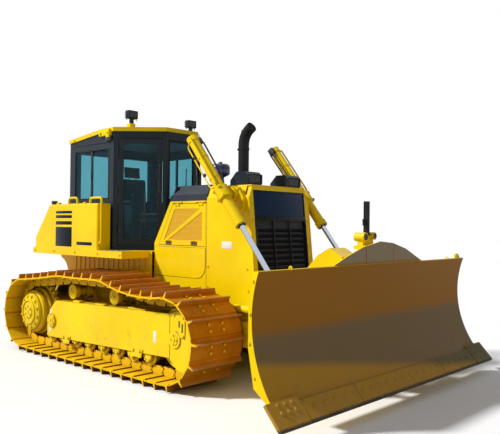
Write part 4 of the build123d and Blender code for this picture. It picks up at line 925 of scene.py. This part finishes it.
# window posts, catch and rain rail
trim.bricks(((0.042, 0.016, tall, 0.003, x, half - 0.012, z),
             (0.026, 0.014, tall, 0.003, x0 + 0.016, half - 0.016, z),
             (0.026, 0.014, tall, 0.003, x1 - 0.016, half - 0.016, z),
             (0.022, 0.016, 0.070, 0.004, x, half - 0.004, 2.480),
             (0.950, 0.014, 0.012, 0.004, 0.640, half + 0.003, 2.935)))
for height in cab["hooks"]:
    trim.brick((0.060, 0.030, 0.022, 0.005), (cab["rear"] - 0.004, half - 0.022, height),
               (-1, 0.3, 0))
trim.brick((0.10, 0.034, 0.020, 0.005), onDoor(0.640, 2.46, 0.002), doorOut)
seals.turns = once
windowTrim(seals, (cab["rear"] + 0.003, 0, z), toRear, cab["rearGlass"], z1 - z0)
wide, low, high = cab["screen"]
windowTrim(seals, (cab["front"] - 0.003, 0, (low + high) / 2), toFront, wide, high - low, 0.026)
# wipers in front and behind
for x, out, z, length in ((cab["front"] + 0.002, 1, 1.93, 0.62),
                          (cab["rear"] - 0.002, -1, 2.84, -0.44)):
    spot = at(x, 0.02 * out, z)
    blades.add(knob(0.030, 0.012, 0.016, 0.024, 0.020), spot, (out, 0, 0))
    arm = [spot + Vector((out * dx, dy, length * share)) for dx, dy, share in
           ((0.020, 0.0, 0.0), (0.030, 0.02, 0.4), (0.024, 0.05, 0.75))]
    blades.add(pipeRun(arm, 0.005), Vector())
    blades.brick((0.012, 0.014, abs(length) * 0.9, 0.003),
                 spot + Vector((out * 0.014, 0.052, length * 0.62)))
seals.piece("windowSeals", "machine", "rubber")
trim.piece("cabTrim", "machine", "charcoal")
blades.piece("wipers", "machine", "plastic")
a0, a1, low, high = cab["door"]
along, foot = cab["doorWiper"]
for name, flip in sides.items():
    seals, lock = Heap((flip,)), Heap((flip,))
    windowTrim(seals, onDoor((a0 + a1) / 2, (low + high) / 2, -0.003), doorOut, a1 - a0,
               high - low)
    lock.brick((0.130, 0.036, 0.014, 0.005), onDoor(0.634, 2.300, 0.006), doorOut)
    lock.add(knob(0.008, 0.008, 0.010, 0.005, 0.010), onDoor(0.634, 2.262, 0.012), doorOut)
    for z in cab["doorHinges"]:
        for dz in (-0.018, 0.018):
            lock.add(tiny, onDoor(0.093, z + dz, 0.011), doorOut)
    lock.add(knob(0.022, 0.010, 0.014, 0.016, 0.016), onDoor(along, foot, 0.0), doorOut)
    arm = (onDoor(along, foot, 0.014), onDoor(along + 0.03, foot + 0.25, 0.022),
           onDoor(along + 0.06, foot + 0.42, 0.008))
    lock.add(pipeRun(arm, 0.005), Vector())
    lock.brick((0.46, 0.014, 0.010, 0.003), onDoor(along + 0.062, foot + 0.36, 0.006), doorOut)
    seals.piece("doorSeal_" + name, "cab_door_" + name, "rubber")
    lock.piece("doorHardware_" + name, "cab_door_" + name, "plastic")

# roof brackets, lamp feet, lining and aerial
roof = {"brackets": ((0.240, 0.050, 0.075, 0.008, 1.020, 0.822, 3.055),
                     (0.070, 0.060, 0.120, 0.008, 1.120, 0.826, 3.050),
                     (0.090, 0.034, 0.045, 0.006, 0.200, 0.816, 3.010),
                     (0.110, 0.120, 0.014, 0.004, 1.237, 0.545, 3.136),
                     (0.088, 0.092, 0.062, 0.006, 1.237, 0.545, 3.168)),
        "bolts": (0.95, 1.12), "hinge": (0.120, 0.040, 0.070, 0.006, 1.10, 0.816, 2.985),
        "lining": ((0.14, -0.76), (1.17, -0.76), (1.64, -0.27), (1.64, 0.27), (1.17, 0.76),
                   (0.14, 0.76)), "aerial": (0.130, 0.740, 3.030)}
trim, dark = Heap(), Heap()
trim.bricks(roof["brackets"])
for x in roof["bolts"]:
    trim.add(bolt, (x, 0.850, 3.055), toSide)
dark.bricks((roof["hinge"],))
dark.brick((0.34, 0.030, 0.016, 0.005), (1.36, 0.50, 3.112), toTop, (0.8, -0.6, 0))
dark.turns = once
dark.add(slab(roof["lining"], 0.010, 0.003), (0, 0, 2.962))
dark.add(knob(0.030, 0.012, 0.018, 0.010, 0.024), roof["aerial"])
dark.add(pipeRun(((0, 0, 0.02), (-0.02, 0, 0.10), (-0.07, 0, 0.17)), 0.004), roof["aerial"])
trim.piece("roofBrackets", "machine", "yellow")
dark.piece("roofFittings", "machine", "plastic")

# lamp rims and reflectors
lamp = {"guard": (3.4215, (0.308, 0.412), 2.346), "roof": (1.250, 0.545), "drop": 0.058,
        "fins": (-0.03, 0.0, 0.03)}
trim, glow = Heap(), Heap()
x, across, z = lamp["guard"]
for y in across:
    glow.add(lathe(((0, -0.004), (0.030, 0.0), (0.038, 0.006), (0.041, 0.006), (0.041, -0.006),
                    (0, -0.006)), 24), (x, y, z), toFront)
trim.add(surround(0.248, 0.118, 0.020, 0.008, 0.012), (x + 0.007, 0.360, z + 0.0005), toFront,
         toSide)
x, y = lamp["roof"]
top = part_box("work_lamps")[1].z - lamp["drop"]
trim.add(surround(0.146, 0.106, 0.014, 0.010, 0.012), (x + 0.038, y, top), toFront, toSide)
trim.bricks([(0.060, 0.140, 0.006, 0.002, x - 0.046, y, top + dz) for dz in lamp["fins"]])
trim.bricks([(0.012, 0.006, 0.100, 0.002, x, y + dy, top - 0.03) for dy in (-0.0816, 0.0816)])
trim.piece("lampRims", "machine", "charcoal")
glow.piece("lampReflectors", "machine", "stack")
print("cab trim done")

# side tanks: dark bands and blank plates, as length, height, x and z; caps, latch, tail lamp
tank = {"out": 1.0425, "bands": ((0.430, 0.036, 0.347, 1.9645), (0.430, 0.042, 0.347, 1.9015),
                                 (0.430, 0.050, 0.347, 1.812), (0.430, 0.276, 0.347, 1.616),
                                 (0.380, 0.044, 0.880, 1.530)),
        "lids": ((0.86, 0.150, 0.010, 0.004, 0.50, 0.930, 2.082),
                 (0.050, 0.030, 0.024, 0.005, 0.16, 1.012, 2.090),
                 (0.050, 0.030, 0.024, 0.005, 0.84, 1.012, 2.090)),
        "cap": (0.02, 0.940, 2.078), "slope": (-0.768, 0, 0.64),
        "strap": ((0.20, 0.030, 0.008, 0.003), (0.26, 0.036, 0.008, 0.003)),
        "lamp": ((0.060, 0.075, 0.052, 0.008, -0.010, 0.985, 2.108),
                 (0.030, 0.030, 0.050, 0.004, -0.005, 0.985, 2.080))}
bands, lids, dark = Heap(), Heap(), Heap()
bands.bricks([(long, 0.002, high, 0.0006, x, tank["out"], z) for long, high, x, z in
              tank["bands"]])
lids.bricks(tank["lids"])
lids.add(knob(0.034, 0.030, 0.044, 0.028, 0.046, 24), tank["cap"])
for size, z in zip(tank["strap"], (1.874, 1.870)):
    dark.brick(size, (-0.235, 1.006, z), tank["slope"])
dark.bricks(tank["lamp"])
pale.brick((0.006, 0.062, 0.042, 0.002), (-0.042, 0.985, 2.108))
bands.piece("tankBands", "machine", "field")
lids.piece("tankLids", "machine", "yellow")
dark.piece("tankLamps", "machine", "plastic")
pale.piece("blankPlates", "machine", "pale")

# platform: ribs on the skirt, tread plates, edge bolts
deck = {"ribs": (-0.02, 1.78, 16), "rail": (1.86, 0.024, 0.020, 0.004, 0.87, 0.612, 1.105),
        "tread": (1.27, 0.86, 1.452), "gaps": (0.055, 0.05), "count": (9, 4),
        "bolts": (-0.44, 0.10, 0.66, 1.22, 1.72)}
ribs, grip = Heap(), Heap()
ribs.bricks([(0.020, 0.016, 0.235, 0.004, x, 0.606, 1.2275) for x in spread(*deck["ribs"])])
ribs.bricks((deck["rail"],))
x, y, z = deck["tread"]
for i in range(deck["count"][0]):
    for j in range(deck["count"][1]):
        spot = (x + deck["gaps"][0] * i, y + deck["gaps"][1] * j, z)
        grip.brick((0.038, 0.009, 0.004, 0.0015), spot, toTop, (1, 1 if (i + j) % 2 else -1, 0))
for x in deck["bolts"]:
    ribs.add(small, (x, 1.050, 1.404), toSide)
ribs.piece("platformRibs", "machine", "yellow")
grip.piece("treadPlates", "machine", "steel")

# rear: inspection plate, lamps, filler cap and bolts
rear = {"plate": (0.40, 0.96, 0.010, 0.004), "lamp": (0.090, 0.150, 0.040, 0.008),
        "spot": (-0.525, 0, 1.810), "neck": (-0.250, 0.420, 2.078),
        "plateBolts": ((-0.44, -0.22, 0.0, 0.22, 0.44), (-0.17, 0.17)),
        "bolts": ((-0.322, 0.32, 0.70), (-0.310, 0.32, 1.00), (-0.500, 0.10, 0.70),
                  (-0.500, 0.10, 0.54))}
plain, bits = Heap(once), Heap(once)
neck, onSlope = at(*rear["neck"]), at(*rear["spot"])
slope, along = Vector((-0.877, 0, 0.480)), Vector((0.480, 0, 0.877))
bits.add(lathe(((0, 0.034), (0.050, 0.034), (0.070, 0.028), (0.082, 0.020), (0.084, -0.010),
                (0.0, -0.010)), 28), neck)
bits.brick((0.110, 0.020, 0.020, 0.005), neck + Vector((0, 0, 0.038)))
plain.brick(rear["plate"], onSlope + slope * 0.003, slope)
for y in rear["plateBolts"][0]:
    for rise in rear["plateBolts"][1]:
        plain.add(small, onSlope + along * rise + Vector((0, y, 0)) + slope * 0.008, slope)
plain.turns = bits.turns = both
bits.brick(rear["lamp"], onSlope + Vector((0, 0.66, 0)) + slope * 0.018, slope)
for spot in rear["bolts"]:
    plain.add(bolt, spot, toRear)
plain.piece("rearPlate", "machine", "yellow")
bits.piece("rearFittings", "machine", "plastic")
print("tanks, platform and rear done")

# blade: plough bolts, seams, welds and lifting eyes
edge = {"tip": (5.283, 0.165), "slope": (172.0, -188.0), "row": (0.130, 0.148, 10),
        "ends": ((1.72, 1.81, 1.90), (0.150, 0.222)), "seams": ((0.82, 0.003), (1.6225, 0.007)),
        "welds": (-0.272, 0.268), "lugs": (4.928, 1.50, 1.424), "farLug": (4.885, 1.842, 1.398),
        "sideBolts": ((1.33, 4.878), (1.05, 4.845), (0.80, 4.842), (0.52, 4.90)),
        "ball": (4.716, 0, 0.700), "bores": ((-0.129, -0.010, 0.034), (0.042, 0.0, 0.027))}
slope = Vector((edge["slope"][0], 0, edge["slope"][1])).normalized()
edgeOut = Vector((-slope.z, 0, slope.x))


def onEdge(rise, y, out):
    x, z = edge["tip"]
    return at(x, y, z) - slope * rise + edgeOut * out


plough = knob(0.007, 0.010, 0.019, 0.004, 0.024, 14)
plain, weld, gap = Heap(once), Heap(once), Heap()
rise, step, count = edge["row"]
for i in range(-count, count + 1):
    plain.add(plough, onEdge(rise, i * step, 0.0), edgeOut)
plain.turns = both
for y in edge["ends"][0]:
    for rise in edge["ends"][1]:
        plain.add(plough, onEdge(rise, y, 0.004), edgeOut)
for y, wide in edge["seams"]:
    gap.brick((0.225, wide, 0.002, 0.0006), onEdge(0.113, y, 0.0005), edgeOut)
weld.bricks([(0.005, 0.012, 0.200, 0.002, 4.922, y, 1.515) for y in edge["welds"]])
plain.piece("edgeBolts", "blade", "edge")
weld.piece("bladeSeams", "blade", "weld")
gap.piece("edgeJoints", "blade", "rubber")
plain = Heap()
plain.add(lathe(((0.009, -0.006), (0.018, -0.006), (0.021, -0.003), (0.021, 0.003),
                 (0.018, 0.006), (0.009, 0.006)), 20), edge["lugs"], toSide)
for z, x in edge["sideBolts"]:
    plain.add(small, (x, 1.930, z), toSide)
plain.turns = once
plain.add(lathe(((0, -0.014), (0.070, -0.014), (0.074, -0.010), (0.074, 0.010), (0.070, 0.014),
                 (0, 0.014)), 28), edge["farLug"], toFront)
plain.ring(bolt, edge["ball"], toRear, 0.098, 8, 0.5)
plain.piece("bladeFittings", "blade", "yellow")
# dark bores in the two round clamps under the mast
foot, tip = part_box("mast")
bores = Heap(once)
for y, z, radius in edge["bores"]:
    bores.add(knob(0.0015, radius * 0.8, radius, 0.004, radius, 24),
              Vector(((foot.x + tip.x) / 2 + 0.062, tip.y + y, foot.z + z)), toFront)
bores.piece("clampBores", "blade", "rubber")
print("blade trim done")

# push frame, pins and cylinders
arms = {"pin": (1.900, 0.722, 0.560), "eye": (4.300, 0.750, 0.930), "eyeHalf": (0.053, 0.058),
        "bolts": ((0.25, 0.50, 0.75), (0.475, 0.70)), "strips": (2.30, 2.70, 3.30)}
trim, heads = Heap(), Heap()
head = knob(0.014, 0.022, 0.030, 0.010, 0.032, 20)
x, y, z = arms["eye"]
near, far = arms["eyeHalf"]
for side in (-1, 1):
    heads.add(head, (x, y + side * near, z), (0, side, 0))
    trim.brick((0.070, 0.024, 0.010, 0.002), (x - 0.045, y + side * far, z - 0.03),
               (0, side, 0), (1, 0, -0.6))
for y in arms["bolts"][0]:
    for z in arms["bolts"][1]:
        trim.add(small, (4.290, y, z), toFront)
for x in arms["strips"]:
    trim.brick((0.26, 0.10, 0.010, 0.004), (x, 0.705, 0.56), toSide, (1, 0, -0.05))
trim.piece("pushFrameTrim", "c_frame", "frame")
heads.piece("liftPins", "c_frame", "steel")
caps = Heap()
caps.ring(bolt, arms["pin"], toSide, 0.066, 4, 0.5)
caps.add(bossCap, arms["pin"], toSide)
caps.piece("pivotCaps", "machine", "frame")

# lift cylinders; a place on one is its distance along, above and beside the barrel's middle
lift = {"head": (2.755, 2.837), "pin": (3.300, 2.164), "eye": (4.300, 0.930), "y": 0.750,
        "radius": 0.062, "length": 1.330, "bands": (0.30, 0.62), "clips": (0.24, 0.52)}
(hx, hz), (ex, ez) = lift["head"], lift["eye"]
liftRun = Vector((ex - hx, 0, ez - hz)).normalized()
liftUp = Vector((-liftRun.z, 0, liftRun.x))
pinAt = math.dist(lift["head"], lift["pin"])


def onLift(along, out, side):
    return at(hx, lift["y"], hz) + liftRun * along + liftUp * out + Vector((0, side, 0))


r = lift["radius"]
band = lathe(((r + 0.001, 0), (r + 0.006, 0.002), (r + 0.006, 0.024), (r + 0.001, 0.026)), 24)
wiper = lathe(((0.0325, 0), (0.052, 0.0), (0.054, 0.004), (0.050, 0.010), (0.0325, 0.012)), 24)
# a feed pipe from the head to the trunnion, and one on the inner side, as along and beside
feed = ((0.045, -0.060, 0.03), (0.050, -0.098, 0.035), (0.14, -0.098, 0.035),
        (pinAt - 0.24, -0.098, 0.035), (pinAt - 0.15, -0.098, 0.035),
        (pinAt - 0.13, -0.060, 0.03))
inner = ((0.050, -0.080), (0.066, -0.122), (0.120, -0.118), (pinAt - 0.34, -0.108),
         (pinAt - 0.24, -0.104), (pinAt - 0.20, -0.060))
for name, flip in sides.items():
    trim, dark = Heap((flip,)), Heap((flip,))
    trim.ring(tiny, onLift(-0.0095, 0, 0), -liftRun, 0.050, 8)
    trim.ring(tiny, onLift(lift["length"] + 0.0015, 0, 0), liftRun, 0.056, 8)
    for along in lift["bands"]:
        trim.add(band, onLift(along, 0, 0), liftRun)
    for along in (pinAt - 0.062, pinAt + 0.062):
        for side in (-1, 1):
            trim.add(bolt, onLift(along, side * 0.050, 0.074), toSide)
    stamp(trim.bm, pipeRun([flip @ onLift(*p) for p in feed], 0.009), Matrix())
    for along in lift["clips"]:
        dark.brick((0.036, 0.030, 0.036, 0.005), onLift(along, -0.084, 0.035), liftUp)
    dark.add(wiper, onLift(lift["length"], 0, 0), liftRun)
    # port block on the head's inner side and the two steel pipes that leave it
    dark.brick((0.085, 0.080, 0.066, 0.008), onLift(0.040, 0.006, -0.080), (0, -1, 0), liftRun)
    for out in (-0.020, 0.032):
        run = [flip @ onLift(along, out, side) for along, side in inner]
        stamp(dark.bm, pipeRun(run, 0.0105), Matrix())
    trim.piece("liftBarrelTrim_" + name, "lift_barrel_" + name, "yellow")
    dark.piece("liftWiper_" + name, "lift_barrel_" + name, "rubber")
print("push frame and cylinders done")

# operator's seat
seat = {"cushion": (0.860, 1.905), "wide": 0.500, "deep": 0.500, "thick": 0.120, "fill": 0.7,
        "back": ((0.600, 1.930), (0.545, 2.490)), "backWide": 0.470, "bellows": 6}


def pad(wide, deep, thick, channels):
    # crowned pad: a divided block pinched at its rim, with sewn channels across it
    bm = bmesh.new()
    bmesh.ops.create_cube(bm, size=1.0)
    bmesh.ops.scale(bm, verts=bm.verts, vec=(deep, wide, thick))
    bmesh.ops.subdivide_edges(bm, edges=bm.edges[:], cuts=11, use_grid_fill=True)
    for v in bm.verts:
        fx, fy, fz = 2 * v.co.x / deep, 2 * v.co.y / wide, 2 * v.co.z / thick
        crown = (1 - fx ** 4) * (1 - fy ** 4)
        v.co.z = fz * thick / 2 * (0.62 + 0.38 * crown)
        pinch = 1 - 0.06 * fz ** 2
        v.co.x *= pinch - 0.03 * (1 - abs(fy)) * abs(fx)
        v.co.y *= pinch - 0.03 * (1 - abs(fx)) * abs(fy)
        if fz > 0.9:
            for line in channels:
                v.co.z -= 0.012 * math.exp(-((fx - line) / 0.09) ** 2)
    return asMesh(bm)


def cushion(name, mesh, spot, out, along):
    heap = Heap(once)
    heap.add(mesh, spot, out, along)
    thing = heap.piece(name, "machine", "seat", 180)
    soften = thing.modifiers.new("soften", "SUBSURF")
    soften.levels = soften.render_levels = 2


x, z = seat["cushion"]
cushion("seatCushion", pad(seat["wide"], seat["deep"], seat["thick"], (-0.35, 0.3)), (x, 0, z),
        (-0.05, 0, 1), (1, 0, 0.05))
(bx, bz), (tx, tz) = seat["back"]
backUp = Vector((tx - bx, 0, tz - bz)).normalized()
backOut = Vector((backUp.z, 0, -backUp.x))
cushion("seatBack", pad(seat["backWide"], 0.560, 0.105, (-0.45, 0.0, 0.45)),
        ((bx + tx) / 2, 0, (bz + tz) / 2), backOut, backUp)
cushion("headRest", pad(0.270, 0.165, 0.080, ()), (0.535, 0, 2.585), backOut, backUp)
base = Heap(once)
for i in range(seat["bellows"]):
    less = 0.012 * (i % 2)
    base.brick((0.30 - less, 0.36 - less, 0.050, 0.012), (0.800, 0, 1.545 + 0.048 * i))
base.brick((0.46, 0.44, 0.030, 0.008), (0.850, 0, 1.835))
base.turns = both
base.brick((0.26, 0.050, 0.040, 0.015, 3), (0.76, 0.262, 2.130))
base.brick((0.030, 0.030, 0.20, 0.008), (0.640, 0.258, 2.04))
base.add(lathe(((0, 0), (0.008, 0), (0.008, 0.14), (0, 0.14)), 12), (0.545, 0.06, 2.42))
base = base.piece("seatBase", "machine", "plastic")
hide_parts("seat")
# levers and switches on the consoles, pedals and the dashboard's rim
trim = Heap()
trim.add(lathe(((0, 0), (0.034, 0), (0.030, 0.016), (0.014, 0.030), (0.012, 0.06), (0, 0.06)),
               16), (1.050, 0.365, 2.035))
trim.brick((0.10, 0.09, 0.008, 0.003), (0.92, 0.365, 2.073))
for i in range(4):
    trim.brick((0.016, 0.026, 0.008, 0.002), (0.78 + 0.028 * i, 0.365, 2.073))
trim.brick((0.07, 0.09, 0.010, 0.004), (1.50, 0.24, 1.56), (-0.6, 0, 0.8))
trim.turns = once
trim.add(surround(0.250, 0.170, 0.014, 0.004, 0.01), (1.489, 0, 2.082), (-0.9, 0, 0.41), toSide)
trim.piece("cabControls", "machine", "plastic")
print("seat and controls done")
print("pieces:", len(made))

# camera, lights and stage
scene = bpy.context.scene
view = {"place": (6.2663, -5.8683, 1.7940), "yaw": 43.244, "pitch": 0.805, "roll": 0.572,
        "lens": 46.01, "sensor": 36.0, "clip": 200.0}
yaw, pitch, roll = (math.radians(view[k]) for k in ("yaw", "pitch", "roll"))
look = Vector((-math.sin(yaw) * math.cos(pitch), math.cos(yaw) * math.cos(pitch),
               math.sin(pitch)))
level = look.cross(Vector(toTop)).normalized()
turned = Matrix.Rotation(-roll, 3, look)
right, up = turned @ level, turned @ level.cross(look)
camera = bpy.data.objects.new("camera", bpy.data.cameras.new("camera"))
camera.data.lens = view["lens"]
camera.data.sensor_width = view["sensor"]
camera.data.clip_end = view["clip"]
camera.matrix_world = Matrix.Translation(view["place"]) @ \
    Matrix((right, up, -look)).transposed().to_4x4()
scene.collection.objects.link(camera)
scene.camera = camera
scene.view_settings.view_transform = "Standard"

lamps = {"sun": 3.75, "sunSpread": 5.0, "sunFrom": (-0.46, -0.62, 0.635), "sky": 0.32}
sun = bpy.data.objects.new("sun", bpy.data.lights.new("sun", "SUN"))
sun.data.energy = lamps["sun"]
sun.data.angle = math.radians(lamps["sunSpread"])
sun.matrix_world = Vector(lamps["sunFrom"]).to_track_quat("Z", "Y").to_matrix().to_4x4()
scene.collection.objects.link(sun)

# the backdrop shows white to the eye and in reflections, and lights as the sky's strength says
world = bpy.data.worlds.new("studio")
scene.world = world
world.use_nodes = True
tree = world.node_tree
tree.nodes.clear()
path = tree.nodes.new("ShaderNodeLightPath")
seen = None
for name in ("Is Camera Ray", "Is Transmission Ray", "Is Glossy Ray"):
    either = tree.nodes.new("ShaderNodeMath")
    either.operation = "MAXIMUM"
    either.inputs[1].default_value = 0.0
    tree.links.new(path.outputs[name], either.inputs[0])
    if seen:
        tree.links.new(seen.outputs[0], either.inputs[1])
    seen = either
mixer = tree.nodes.new("ShaderNodeMixShader")
tree.links.new(seen.outputs[0], mixer.inputs[0])
for slot, strength in ((1, lamps["sky"]), (2, 1.0)):
    backdrop = tree.nodes.new("ShaderNodeBackground")
    backdrop.inputs[0].default_value = (1.0, 1.0, 1.0, 1.0)
    backdrop.inputs[1].default_value = strength
    tree.links.new(backdrop.outputs[0], mixer.inputs[slot])
output = tree.nodes.new("ShaderNodeOutputWorld")
tree.links.new(mixer.outputs[0], output.inputs[0])

ground = {"half": 60.0, "z": -0.002, "pale": ((0.93, 0.93, 0.93), (0.96, 0.96, 0.96)),
          "bounced": (0.50, 0.50, 0.50)}
bm = bmesh.new()
bmesh.ops.create_grid(bm, x_segments=1, y_segments=1, size=ground["half"])
bmesh.ops.translate(bm, verts=bm.verts, vec=(0, 0, ground["z"]))
floorMesh = bpy.data.meshes.new("floor")
bm.to_mesh(floorMesh)
bm.free()
floor = bpy.data.objects.new("floor", floorMesh)
scene.collection.objects.link(floor)
floorFinish = Finish("paleFloor", Roughness=0.9, Specular_IOR_Level=0.1)
seenPale = floorFinish.mix(floorFinish.noise(2.0, 4.0), *ground["pale"])
bounce = floorFinish.add("ShaderNodeLightPath", output="Is Diffuse Ray")
floorFinish.show(Base_Color=floorFinish.mix(bounce, seenPale, ground["bounced"]))
floorMesh.materials.append(floorFinish.material)
print("camera, lights and floor placed")
